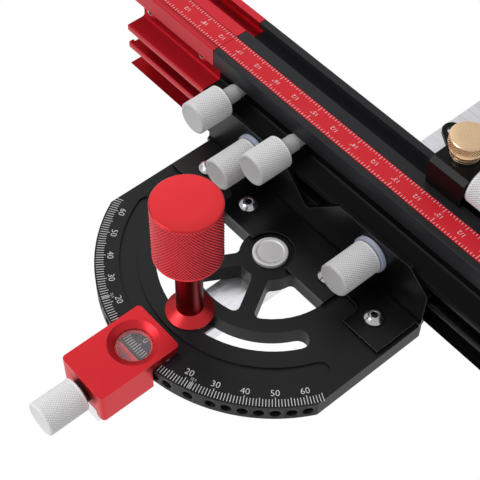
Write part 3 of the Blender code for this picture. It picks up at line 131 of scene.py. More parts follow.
# Printed marks: half their thickness, and the sizes of lines and numbers
INK = 0.00003
DEGREE_SPAN = 65
DEGREE_OUTER, DEGREE_INNER = 0.07973, 0.07529
DEGREE_WIDTH = 0.00030
DEGREE_SHARES = ((10, 1.0), (5, 0.92), (1, 0.80))
NUMBER_STEP, NUMBER_LAST, NUMBER_HEIGHT = 10, 60, 0.0029
NUMBER_RADIUS, NUMBER_RADIUS_NEAR_ZERO, NEAR_ZERO = 0.0731, 0.0724, 20
SPECIAL_ANGLE, SPECIAL_HEIGHT, SPECIAL_RADIUS = 22.5, 0.0011, 0.0747
INCH = 0.0254
SCALE_ZERO = 0.36143
RULE_HALF = 0.0052
RULE_MARGIN = 0.0002
RULE_WIDTH = 0.00022
RULE_PARTS = 16
RULE_TICKS = ((16, 0.0027), (8, 0.0021), (4, 0.0017), (2, 0.0014), (1, 0.0011))
RULE_NUMBER_HEIGHT = 0.0021
RULE_NUMBER_MARGIN = 0.003


class Num:
    """A shader value that can be used in Python arithmetic; each operation adds its Math node."""

    def __init__(self, maker, socket):
        self.maker = maker
        self.socket = socket

    def _math(self, operation, *values):
        return self.maker.node("ShaderNodeMath", {"operation": operation}, values)

    def __add__(self, other):
        return self._math("ADD", self, other)

    def __sub__(self, other):
        return self._math("SUBTRACT", self, other)

    def __mul__(self, other):
        return self._math("MULTIPLY", self, other)

    def sine(self):
        return self._math("SINE", self)

    def root(self):
        return self._math("SQRT", self)

    def most(self, other):
        return self._math("MAXIMUM", self, other)

    def held(self, low, high):
        """The value squeezed to 0..1 as it runs from low to high, with soft ends."""
        return self.maker.node("ShaderNodeMapRange", {"interpolation_type": "SMOOTHSTEP"},
                               {"Value": self, "From Min": low, "From Max": high}, "Result")


class Finish:
    """One material on the Principled shader, and the nodes that feed it."""

    def __init__(self, name, colour, metal, rough, specular=0.5):
        self.material = bpy.data.materials.new(name)
        self.material.use_nodes = True
        self.tree = self.material.node_tree
        self.shader = self.tree.nodes["Principled BSDF"]
        self.set("Base Color", (*colour, 1.0))
        self.set("Metallic", metal)
        self.set("Roughness", rough)
        self.set("Specular IOR Level", specular)

    def _feed(self, socket, value):
        """Links a node's output to the socket, or sets its plain value."""
        if isinstance(value, Num):
            value = value.socket
        if isinstance(value, bpy.types.NodeSocket):
            self.tree.links.new(value, socket)
        else:
            socket.default_value = value

    def set(self, socket, value):
        """Feeds one input of the Principled shader."""
        self._feed(self.shader.inputs[socket], value)

    def node(self, kind, settings=None, values=(), output=0):
        """Adds a node: its settings first, then its inputs by name or by order."""
        made = self.tree.nodes.new(kind)
        for key, value in (settings or {}).items():
            setattr(made, key, value)
        pairs = values.items() if isinstance(values, dict) else enumerate(values)
        for key, value in pairs:
            self._feed(made.inputs[key], value)
        return Num(self, made.outputs[output])

    def place(self):
        """Object coordinates, which are the row's own metres here."""
        return self.node("ShaderNodeTexCoord", output="Object")

    def stretched(self, scale):
        """Object coordinates scaled along each axis."""
        return self.node("ShaderNodeMapping", None, {"Vector": self.place(), "Scale": scale})

    def noise(self, scale, detail=2.0, vector=None):
        """Soft noise about 0.5, at so many features a metre."""
        vector = vector or self.place()
        return self.node("ShaderNodeTexNoise", None, {"Vector": vector, "Scale": scale, "Detail": detail},
                         "Fac")

    def axes(self):
        """The three object coordinates as numbers."""
        split = self.tree.nodes.new("ShaderNodeSeparateXYZ")
        self._feed(split.inputs[0], self.place())
        return [Num(self, split.outputs[i]) for i in range(3)]

    def mark(self, name):
        """A number stored on the mesh's points."""
        return self.node("ShaderNodeAttribute", {"attribute_name": name}, output="Fac")

    def blend(self, factor, first, second):
        """Colour that goes from first to second as factor goes from 0 to 1."""
        return self.node("ShaderNodeMix", {"data_type": "RGBA"},
                         {0: factor, 6: self._colour(first), 7: self._colour(second)}, 2)

    @staticmethod
    def _colour(value):
        return value if isinstance(value, Num) else (*value, 1.0)

    def relief(self, height, distance, strength):
        """Bump in metres that feeds the shader's normal."""
        bump = self.node("ShaderNodeBump", None, {"Height": height, "Distance": distance,
                                                  "Strength": strength}, "Normal")
        self.set("Normal", bump)


def scaled(colour, factor):
    """The colour with each channel times the factor, at most 1."""
    return tuple(min(1.0, channel * factor) for channel in colour)


def anodised(name, colour, rough, metal, specular=0.5, shift=0.10, knurl=None, stem=None):
    """Satin anodised aluminium: fine blasted grain, slight cloudiness, a little uneven gloss.

    A knurl gives the colours of the band's crests and of its grooves, where the mesh is marked so: a lighter
    crest colour as painted highlight and a near-black groove colour as painted shade.
    A stem gives the heights between which the piece takes another colour, and that colour, a darker one
    painted as shade and reflection of the dark plate.
    """
    finish = Finish(name, colour, metal, rough, specular)
    cloud = finish.noise(CLOUDS, 3.0)
    tint = finish.blend(cloud, scaled(colour, 1 - shift), scaled(colour, 1 + shift))
    # Knurl crests take a lighter colour, painted highlight; grooves a darker one, painted shade
    if knurl:
        crest_highlight, groove = knurl
        tint = finish.blend(finish.mark("band"), tint, crest_highlight)
        tint = finish.blend(finish.mark("groove"), tint, groove)
    # Stem: a darker colour between the heights, painted shade and reflection of the dark plate
    if stem:
        low, high, stem_shade_colour = stem
        height = finish.axes()[2]
        part = height.held(low, low + STEM_FADE) - height.held(high - STEM_FADE, high)
        tint = finish.blend(part, tint, stem_shade_colour)
    finish.set("Base Color", tint)
    fine = finish.noise(BLASTED_GRAIN)
    finish.set("Roughness", fine * 0.10 + cloud * 0.06 + (rough - 0.08))
    finish.relief(fine, BLASTED_DEPTH, 0.5)
    return finish.material


def brushed(name, colour, rough, scale, shade=0.90, socket=None):
    """Ground or drawn metal: noise stretched along the grain tints, roughens and scores it.

    A screw's socket, where the mesh is marked so, takes a dark colour of its own, painted shade in the
    recess.
    """
    finish = Finish(name, colour, 1.0, rough)
    streak = finish.noise(1.0, 3.0, finish.stretched(scale))
    tint = finish.blend(streak.held(0.32, 0.68), scaled(colour, shade), colour)
    # Socket: dark colour painted as shade in the recess
    if socket:
        tint = finish.blend(finish.mark("socket"), tint, socket)
    finish.set("Base Color", tint)
    finish.set("Roughness", streak * 0.16 + (rough - 0.08))
    finish.relief(streak, BRUSHED_DEPTH, 0.5)
    return finish.material


def lathe_turned(name, colour, rough, axis, centre, side=None, metal=0.12, groove_shade=0.50):
    """Metal faced on a lathe: rings about the axis, height = sine of the radius over the pitch.

    A knurled band takes the side colour, a lighter copy painted as highlight, and its grooves a darker one,
    painted shade.
    """
    finish = Finish(name, colour, metal, rough)
    coords = finish.axes()
    across = [(coords[i] - centre[i]) for i in range(3) if i != axis]
    radius = (across[0] * across[0] + across[1] * across[1]).root()
    rings = (radius * (2 * math.pi / LATHE_PITCH)).sine() * 0.5 + 0.5
    grain = finish.noise(LATHE_GRAIN)
    tint = finish.blend(grain * 0.5 + rings * 0.5, scaled(colour, 0.88), colour)
    # Knurled band: lighter side colour, painted highlight; grooves darker, painted shade
    if side:
        tint = finish.blend(finish.mark("band"), tint, side)
        tint = finish.blend(finish.mark("groove"), tint, scaled(side, groove_shade))
    finish.set("Base Color", tint)
    finish.set("Roughness", rings * 0.06 + grain * 0.14 + (rough - 0.10))
    finish.relief(rings * 0.6 + grain * 0.4, LATHE_DEPTH, 0.6)
    return finish.material


def clear(name, colour, rough, cover):
    """Clear plastic: mostly see-through, with a gloss."""
    finish = Finish(name, colour, 0.0, rough)
    finish.set("Alpha", cover)
    return finish.material


def ride_on(piece, body, slot_name, *nodes):
    """Says what a new piece moves with and hides the solids it stands for; slot_name is not used."""
    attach(piece, body)
    if nodes:
        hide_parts(*nodes)
    return piece


def mesh_piece(name, points, faces, material, sharp=SHARP_ANGLE, marks=None):
    """A mesh object at the origin from arrays of points and faces, closed and facing outwards.

    Marks are numbers stored on the points under a label, for the material.
    """
    mesh = bpy.data.meshes.new(name)
    mesh.from_pydata(points.reshape(-1, 3).tolist(), [], faces)
    for label, values in (marks or {}).items():
        mesh.attributes.new(label, "FLOAT", "POINT").data.foreach_set("value", values.ravel().astype("f"))
    bm = bmesh.new()
    bm.from_mesh(mesh)
    bmesh.ops.remove_doubles(bm, verts=bm.verts, dist=MERGE_NEW)
    bmesh.ops.recalc_face_normals(bm, faces=bm.faces)
    bm.to_mesh(mesh)
    bm.free()
    mesh.materials.append(material)
    mesh.shade_smooth()
    mesh.set_sharp_from_angle(angle=math.radians(sharp))
    piece = bpy.data.objects.new(name, mesh)
    bpy.context.scene.collection.objects.link(piece)
    return piece


def grid_faces(rows, columns):
    """Quads of a grid whose columns close on themselves."""
    i, j = np.meshgrid(np.arange(rows - 1), np.arange(columns), indexing="ij")
    k = (j + 1) % columns
    quads = np.stack([i * columns + j, i * columns + k, (i + 1) * columns + k, (i + 1) * columns + j], -1)
    return quads.reshape(-1, 4).tolist()


def angles_round(count):
    """So many equal angles round a full turn, as one row."""
    return np.linspace(0, 2 * np.pi, count, endpoint=False)[None, :]


def on_axis(radius, height, angle, axis, centre):
    """Points at a radius, a height along the axis and an angle about it."""
    u, v = radius * np.cos(angle), radius * np.sin(angle)
    parts = {"X": (height, u, v), "Y": (u, height, v), "Z": (u, v, height)}[axis]
    return np.stack([part + shift for part, shift in zip(parts, centre)], -1)


def rings_of(profile, angle):
    """Radius and height of each profile point at each angle.

    A profile point's third value makes its ring a polygon with so many sides. The point's radius is
    then the distance to a side, divided by the cosine of the angle from that side's middle.
    """
    radius, height = [np.array([point[i] for point in profile])[:, None] * np.ones_like(angle)
                      for i in range(2)]
    for row, point in enumerate(profile):
        if len(point) > 2:
            sector = 2 * np.pi / point[2]
            radius[row] /= np.cos((angle[0] + sector / 2) % sector - sector / 2)
    return radius, height


def turned(name, profile, centre, axis, material, around=64, marks=None):
    """Surface of revolution: each point of the profile goes round the axis."""
    angle = angles_round(around)
    radius, height = rings_of(profile, angle)
    marks = {label: np.array(values)[:, None] * np.ones_like(angle)
             for label, values in (marks or {}).items()}
    return mesh_piece(name, on_axis(radius, height, angle, axis, centre),
                      grid_faces(len(profile), around), material, marks=marks)


def soft_profile(corners, ease):
    """Profile with every inner corner rounded by a quadratic curve that starts ease away."""
    corners = [np.array(c, float) for c in corners]
    line = [corners[0]]
    for before, corner, after in zip(corners, corners[1:], corners[2:]):
        first, last = [corner + (end - corner) * min(0.45, ease / max(1e-9, np.linalg.norm(end - corner)))
                       for end in (before, after)]
        for t in np.linspace(0, 1, CURVE_STEPS + 1):
            line.append((1 - t) ** 2 * first + 2 * t * (1 - t) * corner + t * t * last)
    line.append(corners[-1])
    return [tuple(point) for point in line]


def knurled(name, before, band, after, centre, axis, material, knurl):
    """Turned piece with a diamond-knurled band between two profiles; a band is (radius, low, high).

    Two families of helical V grooves cross on the band: groove = max(v(a), SECOND_GROOVE * v(b)), where
    a and b are the turns of each helix and v falls from 1 in a groove's middle to 0 at a third of a turn
    from it. The grooves fade out at the band's ends. Their value is stored on the points as groove, and
    the band itself as band; the finishes paint shade into the grooves and a lighter colour on the band
    as painted highlight.
    """
    radius, low, high = band
    pitch_round, pitch_along, depth = knurl
    count = int(round(2 * math.pi * radius / pitch_round))
    rows = max(2, int(round((high - low) / pitch_along)) * KNURL_SAMPLES)
    around = count * KNURL_SAMPLES
    angle = angles_round(around)
    step = np.linspace(0, 1, rows + 1)[:, None]
    turn = angle * count / (2 * np.pi)
    along = step * rows / KNURL_SAMPLES
    first, second = [np.clip(1 - (1 - np.abs(2 * (helix % 1) - 1)) * GROOVE_SHARPNESS, 0, 1)
                     for helix in (turn + along, turn - along)]
    fade = np.clip(np.minimum(step, 1 - step) * rows / KNURL_SAMPLES * 2, 0, 1)
    groove = np.maximum(first, second * SECOND_GROOVE) * fade
    level = low + (high - low) * step * np.ones_like(angle)
    relief = on_axis(radius - depth * groove, level, angle, axis, centre)
    ends = [on_axis(*rings_of(profile, angle), angle, axis, centre) for profile in (before, after)]
    points = np.concatenate([ends[0], relief, ends[1]])
    plain = [np.zeros((len(profile), around)) for profile in (before, after)]
    # The groove values also paint shade in the finishes, and the band mark a lighter, highlighted colour
    marks = {"groove": np.concatenate([plain[0], groove, plain[1]]),
             "band": np.concatenate([plain[0], np.ones_like(groove), plain[1]])}
    return mesh_piece(name, points, grid_faces(points.shape[0], around), material, SHARP_KNURL_ANGLE, marks)


def eased(node, material, width, body, slot_name, worn_highlight=None, other=None):
    """Copy of a solid with its outer edges broken: doubles merged, flats joined, then a narrow bevel.

    Inner corners stay sharp. A lighter finish goes on the broken edges alone, part wear and part painted
    highlight. Another finish comes with the test of a face's middle and normal that says where it goes; in
    the fence's recesses it is a darker copy, painted shade.
    """
    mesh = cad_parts[node].data.copy()
    bm = bmesh.new()
    bm.from_mesh(mesh)
    bmesh.ops.remove_doubles(bm, verts=bm.verts, dist=MERGE_CAD)
    bmesh.ops.dissolve_limit(bm, angle_limit=math.radians(FLAT_ANGLE), verts=bm.verts, edges=bm.edges)
    broken = bm.edges.layers.float.new("bevel_weight_edge")
    for edge in bm.edges:
        if len(edge.link_faces) == 2 and edge.calc_face_angle_signed() > math.radians(SHARP_CAD_ANGLE):
            edge[broken] = 1.0
    bm.to_mesh(mesh)
    bm.free()
    mesh.materials.clear()
    mesh.materials.append(material)
    mesh.shade_smooth()
    mesh.set_sharp_from_angle(angle=math.radians(SHARP_CAD_ANGLE))
    piece = bpy.data.objects.new(node + "_eased", mesh)
    bpy.context.scene.collection.objects.link(piece)
    bevel = piece.modifiers.new("edge_break", "BEVEL")
    bevel.width = width
    bevel.segments = 2
    bevel.limit_method = "WEIGHT"
    bevel.harden_normals = True
    bevel.use_clamp_overlap = True
    # Broken edges take the lighter finish: part wear, part painted highlight
    if worn_highlight:
        mesh.materials.append(worn_highlight)
        bevel.material = 1
    # Faces passing the test take the other finish; in the fence's recesses a darker copy, painted shade
    if other:
        finish, test = other
        mesh.materials.append(finish)
        for face in mesh.polygons:
            if test(face.center, face.normal):
                face.material_index = len(mesh.materials) - 1
    return ride_on(piece, body, slot_name, node)


def in_fold(_, normal):
    """Whether a face leans between up and the front, as where a sheet is folded."""
    return min(abs(normal.y), abs(normal.z)) > 0.15


def below_ledge(place, _):
    """Whether a face belongs to the fence's front below its ledge."""
    return place.y < RECESS_BACK and place.z < RECESS_ROOF


def behind_fin(place, normal):
    """Whether a face lies between the ledge and the upper fin, behind the fin's nose."""
    return below_ledge(place, normal) and place.y > FIN_NOSE and place.z > FIN_TOP


def dress(node, material):
    """Gives a solid that keeps its mesh a better material."""
    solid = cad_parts[node]
    solid.data.materials.clear()
    solid.data.materials.append(material)


def bars(name, middles, angles, lengths, width, level, material):
    """Printed marks as thin bars: each is centred on its middle and turned by its angle."""
    middles, angles = np.asarray(middles), np.asarray(angles)
    half = np.stack([np.asarray(lengths) / 2, np.full(len(angles), width / 2)], -1)
    signs = np.array([(-1, -1), (1, -1), (1, 1), (-1, 1)])
    local = half[:, None, :] * signs[None, :, :]
    c, s = np.cos(angles)[:, None], np.sin(angles)[:, None]
    x = middles[:, 0, None] + local[..., 0] * c - local[..., 1] * s
    y = middles[:, 1, None] + local[..., 0] * s + local[..., 1] * c
    low = np.stack([x, y, np.full_like(x, level - INK)], -1)
    high = np.stack([x, y, np.full_like(x, level + INK)], -1)
    points = np.concatenate([low, high], 1)
    sides = [(0, 3, 2, 1), (4, 5, 6, 7), (0, 1, 5, 4), (1, 2, 6, 5), (2, 3, 7, 6), (3, 0, 4, 7)]
    faces = (np.arange(len(angles))[:, None, None] * 8 + np.array(sides)[None]).reshape(-1, 4).tolist()
    return mesh_piece(name, points, faces, material)


def glyphs(words, height):
    """Points and faces of a word, centred, made to the given height."""
    curve = bpy.data.curves.new("word", "FONT")
    curve.body = words
    curve.size = 1.0
    curve.extrude = 0.01
    curve.resolution_u = 3
    curve.offset = -0.010
    holder = bpy.data.objects.new("word", curve)
    bpy.context.scene.collection.objects.link(holder)
    graph = bpy.context.evaluated_depsgraph_get()
    mesh = bpy.data.meshes.new_from_object(holder.evaluated_get(graph))
    points = np.empty(len(mesh.vertices) * 3)
    mesh.vertices.foreach_get("co", points)
    points = points.reshape(-1, 3)
    faces = [list(polygon.vertices) for polygon in mesh.polygons]
    bpy.data.objects.remove(holder)
    bpy.data.curves.remove(curve)
    bpy.data.meshes.remove(mesh)
    low, high = points.min(0), points.max(0)
    points = points - (low + high) / 2
    points[:, :2] *= height / (high[1] - low[1])
    points[:, 2] = np.sign(points[:, 2]) * INK
    return points, faces


def lettering(name, labels, level, material):
    """Printed words in one mesh; a label is (words, height, x, y, angle of its reading direction)."""
    all_points, all_faces, count = [], [], 0
    known = {}
    for words, height, x, y, angle in labels:
        if (words, height) not in known:
            known[words, height] = glyphs(words, height)
        points, faces = known[words, height]
        c, s = math.cos(angle), math.sin(angle)
        moved = np.stack([x + points[:, 0] * c - points[:, 1] * s,
                          y + points[:, 0] * s + points[:, 1] * c, level + points[:, 2]], -1)
        all_points.append(moved)
        all_faces += [[index + count for index in face] for face in faces]
        count += len(points)
    return mesh_piece(name, np.concatenate(all_points), all_faces, material)


def middle(node):
    """Centre of a node's box."""
    low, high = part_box(node)
    return [(a + b) / 2 for a, b in zip(low, high)]


def thumb_knob(node, body):
    """Knurled aluminium knob on an axis along Y, with a dished end face.

    An extension knob steps down to a neck, a spigot and a stud; the others are bored from behind.
    """
    low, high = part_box(node)
    centre = middle(node)
    radius = (high[2] - low[2]) / 2
    front, back = low[1], high[1]
    if node in KNOB_BORES:
        end = back
        bore, bore_depth = KNOB_BORES[node]
        tail = [(bore, end), (bore, end - bore_depth), (0, end - bore_depth)]
    else:
        end = front + EXTENSION_KNOB_LENGTH
        tail = [(NECK_RADIUS, end), (NECK_RADIUS, NECK_END), (SPIGOT_RADIUS, SPIGOT_START),
                (SPIGOT_RADIUS, WEB_HOLE), (STUD_RADIUS, WEB_HOLE), (STUD_RADIUS, back), (0, back)]
    start, stop = front + KNOB_RING, end - KNOB_RING
    before = soft_profile([(0, front + KNOB_DISH + 0.00005),
                           (radius - KNOB_RIM - KNOB_SLOPE, front + KNOB_DISH), (radius - KNOB_RIM, front),
                           (radius - KNOB_CHAMFER, front), (radius, front + KNOB_CHAMFER),
                           (radius, start)], 0.00022)
    after = soft_profile([(radius, stop), (radius, end - KNOB_CHAMFER), (radius - KNOB_CHAMFER, end)] + tail,
                         0.0002)
    # The plunger knob's face takes the lit side colour too; the grooves get painted shade
    face, groove_shade = (KNOB_SIDE_LIT, 0.70) if node == "plunger_knob" else (KNOB_FACE_SHADED, 0.50)
    material = lathe_turned(node + "_metal", face, 0.50, 1, centre, KNOB_SIDE_LIT, groove_shade=groove_shade)
    piece = knurled(node + "_knurled", before, (radius, start, stop), after, (centre[0], 0.0, centre[2]),
                    "Y", material, THUMB_KNURL)
    return ride_on(piece, body, "silver_aluminium", node)


def clamp_knob():
    """Tall red knob: smooth top, knurled drum, slim stem and a coned foot."""
    x, y, _ = middle("clamp_knob")
    foot, bottom, top = [PLATE_TOP + height for height in (0.0003, 0.0420, 0.0753)]
    radius, stem, foot_radius = 0.0152, 0.0061, 0.0111
    edge, chamfer, plain, cone_height = 0.0005, 0.0007, 0.0009, 0.0037
    before = soft_profile([(0, foot), (foot_radius - 0.0002, foot), (foot_radius, foot + edge),
                           (stem + 0.0001, foot + cone_height), (stem, foot + cone_height + 0.0002),
                           (stem, bottom), (radius - chamfer, bottom), (radius, bottom + chamfer),
                           (radius, bottom + plain)], 0.0001)
    after = soft_profile([(radius, top - chamfer), (radius, top - edge), (radius - edge, top),
                          (radius * 0.5, top), (0, top)], 0.0002)
    piece = knurled("clamp_knob_knurled", before, (radius, bottom + plain, top - chamfer), after,
                    (x, y, 0.0), "Z", RED_KNOB, CLAMP_KNURL)
    return ride_on(piece, "clamp_knob", "red_anodised", "clamp_knob")


def hex_screw(node, body, axis, sign, head, dome, shank, tip, flat, seat):
    """Button-head screw: coned head, flat crown with a hexagon socket sunk in it, plain shank."""
    centre = middle(node)
    centre["XYZ".index(axis)] = 0.0
    crown = seat + sign * dome * CROWN_SHARE
    sunk = crown - sign * dome * SOCKET_SHARE
    cone = [(head * across, seat + sign * dome * up) for across, up in HEAD_CONE]
    outside = [(0, tip), (shank, tip), (shank, seat)] + cone + [(flat * 1.12, crown, HEXAGON),
                                                                (flat, crown - sign * 0.00015, HEXAGON)]
    socket = [(flat, crown - sign * 0.0003, HEXAGON), (flat, sunk, HEXAGON), (0, sunk - sign * 0.0003)]
    # The socket's points are marked for their painted shade
    marks = {"socket": [0.0] * len(outside) + [1.0] * len(socket)}
    piece = turned(node + "_turned", outside + socket, centre, axis, SCREW_STEEL, 48, marks)
    return ride_on(piece, body, "bright_steel", node)


def pivot_cap():
    """Pivot bolt's cap: a low disc with a raised rim and a shallow face."""
    bottom, base, top = 0.0038, PLATE_TOP + 0.0003, PLATE_TOP + 0.0023
    shank, cap, rim_outer, rim_inner, face = 0.0040, 0.0083, 0.0081, 0.0067, 0.0060
    sunk = top - 0.0004
    profile = soft_profile([(0, bottom), (shank, bottom), (shank, base), (cap, base), (cap, top - 0.0003),
                            (rim_outer, top), (rim_inner, top), (face, sunk), (0.0, sunk)], 0.0002)
    centre = (0.0, 0.0, 0.0)
    material = lathe_turned("pivot_cap_metal", (0.92, 0.91, 0.92), 0.46, 2, centre, None, 0.5)
    piece = turned("pivot_bolt_turned", profile, centre, "Z", material, 72)
    return ride_on(piece, "bar", "silver_aluminium", "pivot_bolt")


def lock_knob():
    """Brass knob: knurled band at the top, rounded waist with a bead, thin stud below."""
    low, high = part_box("stop_lock_knob")
    x, y, _ = middle("stop_lock_knob")
    radius, top = (high[0] - low[0]) / 2, high[2]
    height, stud, edge, plain = 0.0102, 0.0020, 0.0005, 0.0007
    base = top - height
    waist = ((0.74, 0.0), (0.78, 0.0012), (0.90, 0.0026), (0.94, 0.0036), (0.90, 0.0044), (0.88, 0.0047),
             (0.97, 0.0052), (1.0, 0.0056))
    start = base + waist[-1][1]
    before = soft_profile([(0, low[2]), (stud, low[2]), (stud, base)]
                          + [(radius * share, base + up) for share, up in waist], 0.0004)
    after = soft_profile([(radius, top - plain), (radius, top - edge), (radius - edge, top),
                          (radius * 0.4, top), (0, top)], 0.0002)
    # Brass knurl band: lighter copy as painted highlight; grooves far darker, painted shade
    material = lathe_turned("brass_turned", (0.92, 0.65, 0.40), 0.30, 2, (x, y, 0.0), (1.0, 0.66, 0.36),
                            0.88, 0.16)
    piece = knurled("stop_lock_knob_knurled", before, (radius, start, top - plain), after, (x, y, 0.0),
                    "Z", material, BRASS_KNURL)
    return ride_on(piece, "stop_lock_knob", "brass", "stop_lock_knob")


def micro_wheel():
    """Coarsely knurled wheel with its screw through it."""
    low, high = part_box("micro_adjust_wheel")
    _, y, z = middle("micro_adjust_wheel")
    radius, screw, start, end = 0.0092, 0.0020, 0.0601, 0.0770
    chamfer, plain = 0.0006, 0.0008
    before = soft_profile([(0, low[0]), (screw, low[0]), (screw, start), (radius - chamfer, start),
                           (radius, start + chamfer), (radius, start + plain)], 0.0002)
    after = soft_profile([(radius, end - plain), (radius, end - chamfer), (radius - chamfer, end),
                          (screw, end), (screw, high[0]), (0, high[0])], 0.0002)
    material = lathe_turned("wheel_metal", KNOB_FACE_SHADED, 0.42, 0, (0.0, y, z), KNOB_SIDE_LIT)
    piece = knurled("micro_adjust_wheel_knurled", before, (radius, start + plain, end - plain), after,
                    (0.0, y, z), "X", material, WHEEL_KNURL)
    return ride_on(piece, "micro_wheel", "silver_aluminium", "micro_adjust_wheel")


def lens_disc():
    """Lens with a slightly domed top: height = crown times (1 - (r / R) squared)."""
    low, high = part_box("lens")
    x, y, _ = middle("lens")
    radius = (high[0] - low[0]) / 2
    crown, edge = 0.0003, 0.0005
    dome = [(radius * t, high[2] - crown * t * t) for t in (0.0, 0.35, 0.65, 0.88, 0.97)]
    profile = [(0, low[2]), (radius, low[2]), (radius, high[2] - edge)] + dome[::-1]
    piece = turned("lens_disc", profile, (x, y, 0.0), "Z", LENS_CLEAR)
    return ride_on(piece, "bar", "lens_glass", "lens")


def protractor_print():
    """Degree lines round the rim and their numbers, read with their tops towards the pivot."""
    degrees = np.arange(-DEGREE_SPAN, DEGREE_SPAN + 1).astype(float)
    shares = np.select([degrees % step == 0 for step, _ in DEGREE_SHARES],
                       [share for _, share in DEGREE_SHARES])
    specials = np.array([-SPECIAL_ANGLE, SPECIAL_ANGLE])
    degrees = np.concatenate([degrees, specials])
    shares = np.concatenate([shares, np.full(len(specials), DEGREE_SHARES[1][1])])
    length = shares * (DEGREE_OUTER - DEGREE_INNER)
    turn = np.radians(degrees)
    reach = DEGREE_OUTER - length / 2
    middles = np.stack([reach * np.sin(turn), -reach * np.cos(turn)], -1)
    lines = bars("protractor_lines", middles, turn - math.pi / 2, length, DEGREE_WIDTH, PLATE_TOP,
                 PRINT_WHITE)
    ride_on(lines, "head", "black_anodised")
    numbers = [(value, str(abs(value)), NUMBER_HEIGHT,
                NUMBER_RADIUS if abs(value) > NEAR_ZERO else NUMBER_RADIUS_NEAR_ZERO)
               for value in range(-NUMBER_LAST, NUMBER_LAST + 1, NUMBER_STEP)]
    numbers += [(value, str(SPECIAL_ANGLE), SPECIAL_HEIGHT, SPECIAL_RADIUS) for value in specials]
    labels = []
    for value, words, height, radius in numbers:
        turn = math.radians(value)
        labels.append((words, height, radius * math.sin(turn), -radius * math.cos(turn), turn))
    ride_on(lettering("protractor_numbers", labels, PLATE_TOP, PRINT_WHITE), "head", "black_anodised")


def rule_print(name, ends, body):
    """Inch rule, sixteen lines to the inch on both edges, numbered towards the extension."""
    left, right = ends
    first = math.ceil((SCALE_ZERO - right) / INCH * RULE_PARTS + 0.01)
    last = math.floor((SCALE_ZERO - left) / INCH * RULE_PARTS - 0.01)
    count = np.arange(first, last + 1)
    x = SCALE_ZERO - count * INCH / RULE_PARTS
    length = np.select([count % step == 0 for step, _ in RULE_TICKS], [reach for _, reach in RULE_TICKS])
    y = [RULER_MIDDLE + side * (RULE_HALF - RULE_MARGIN - length / 2) for side in (-1, 1)]
    middles = np.stack([np.tile(x, 2), np.concatenate(y)], -1)
    lines = bars(name + "_lines", middles, np.full(len(middles), math.pi / 2), np.tile(length, 2),
                 RULE_WIDTH, FENCE_TOP, PRINT_PINK)
    ride_on(lines, body, "ruler_red")
    labels = []
    for half_inch in range(math.ceil(first / 8), last // 8 + 1):
        place = SCALE_ZERO - half_inch * INCH / 2
        words = "1/2" if half_inch % 2 else '%d"' % (half_inch // 2)
        if left + RULE_NUMBER_MARGIN < place < right - RULE_NUMBER_MARGIN and half_inch > 0:
            labels.append((words, RULE_NUMBER_HEIGHT, place, RULER_MIDDLE, math.pi))
    ride_on(lettering(name + "_numbers", labels, FENCE_TOP, PRINT_PINK), body, "ruler_red")


def pointer_wedge():
    """Dark wedge painted on the block's floor under the lens, its tip at the rim."""
    level = PLATE_TOP - 0.0002
    tip, root, half_width = -PLATE_RADIUS - 0.0011, -0.0858, 0.0011
    outline = np.array([(0.0, tip), (half_width, root), (-half_width, root)])
    low, high = [np.column_stack([outline, np.full(3, level + side * INK)]) for side in (-1, 1)]
    faces = [(0, 2, 1), (3, 4, 5), (0, 1, 4, 3), (1, 2, 5, 4), (2, 0, 3, 5)]
    piece = mesh_piece("pointer_mark", np.concatenate([low, high]), faces, DARK_MARK)
    return ride_on(piece, "bar", "red_anodised")


def studio():
    """White floor that the camera sees as plain white, even world light and two soft lamps."""
    white = Finish("floor_white", (FLOOR_GREY, FLOOR_GREY, FLOOR_GREY), 0.0, 0.9, 0.2)
    path = white.tree.nodes.new("ShaderNodeLightPath")
    seen = Num(white, path.outputs["Is Camera Ray"]).most(Num(white, path.outputs["Is Glossy Ray"]))
    seen = seen.most(Num(white, path.outputs["Is Transmission Ray"]))
    glow = white.node("ShaderNodeEmission", None, {"Color": (1, 1, 1, 1), "Strength": 1.0})
    mixed = white.node("ShaderNodeMixShader", None, {0: seen, 1: white.shader.outputs[0], 2: glow})
    white.tree.links.new(mixed.socket, white.tree.nodes["Material Output"].inputs["Surface"])
    corners = [(x * FLOOR_HALF, y * FLOOR_HALF, FLOOR_LEVEL) for x, y in ((-1, -1), (1, -1), (1, 1), (-1, 1))]
    mesh = bpy.data.meshes.new("floor")
    mesh.from_pydata(corners, [], [(0, 1, 2, 3)])
    mesh.materials.append(white.material)
    floor = bpy.data.objects.new("floor", mesh)
    bpy.context.scene.collection.objects.link(floor)
    world = bpy.data.worlds.new("studio")
    bpy.context.scene.world = world
    world.use_nodes = True
    backdrop = world.node_tree.nodes["Background"]
    backdrop.inputs["Color"].default_value = (1.0, 1.0, 1.0, 1.0)
    backdrop.inputs["Strength"].default_value = WORLD_LIGHT
    for name, place, aim, size, watts in LAMPS:
        lamp = bpy.data.lights.new(name, "AREA")
        lamp.size = size
        lamp.energy = watts
        holder = bpy.data.objects.new(name, lamp)
        holder.location = place
        holder.rotation_euler = (Vector(aim) - Vector(place)).to_track_quat("-Z", "Y").to_euler()
        bpy.context.scene.collection.objects.link(holder)


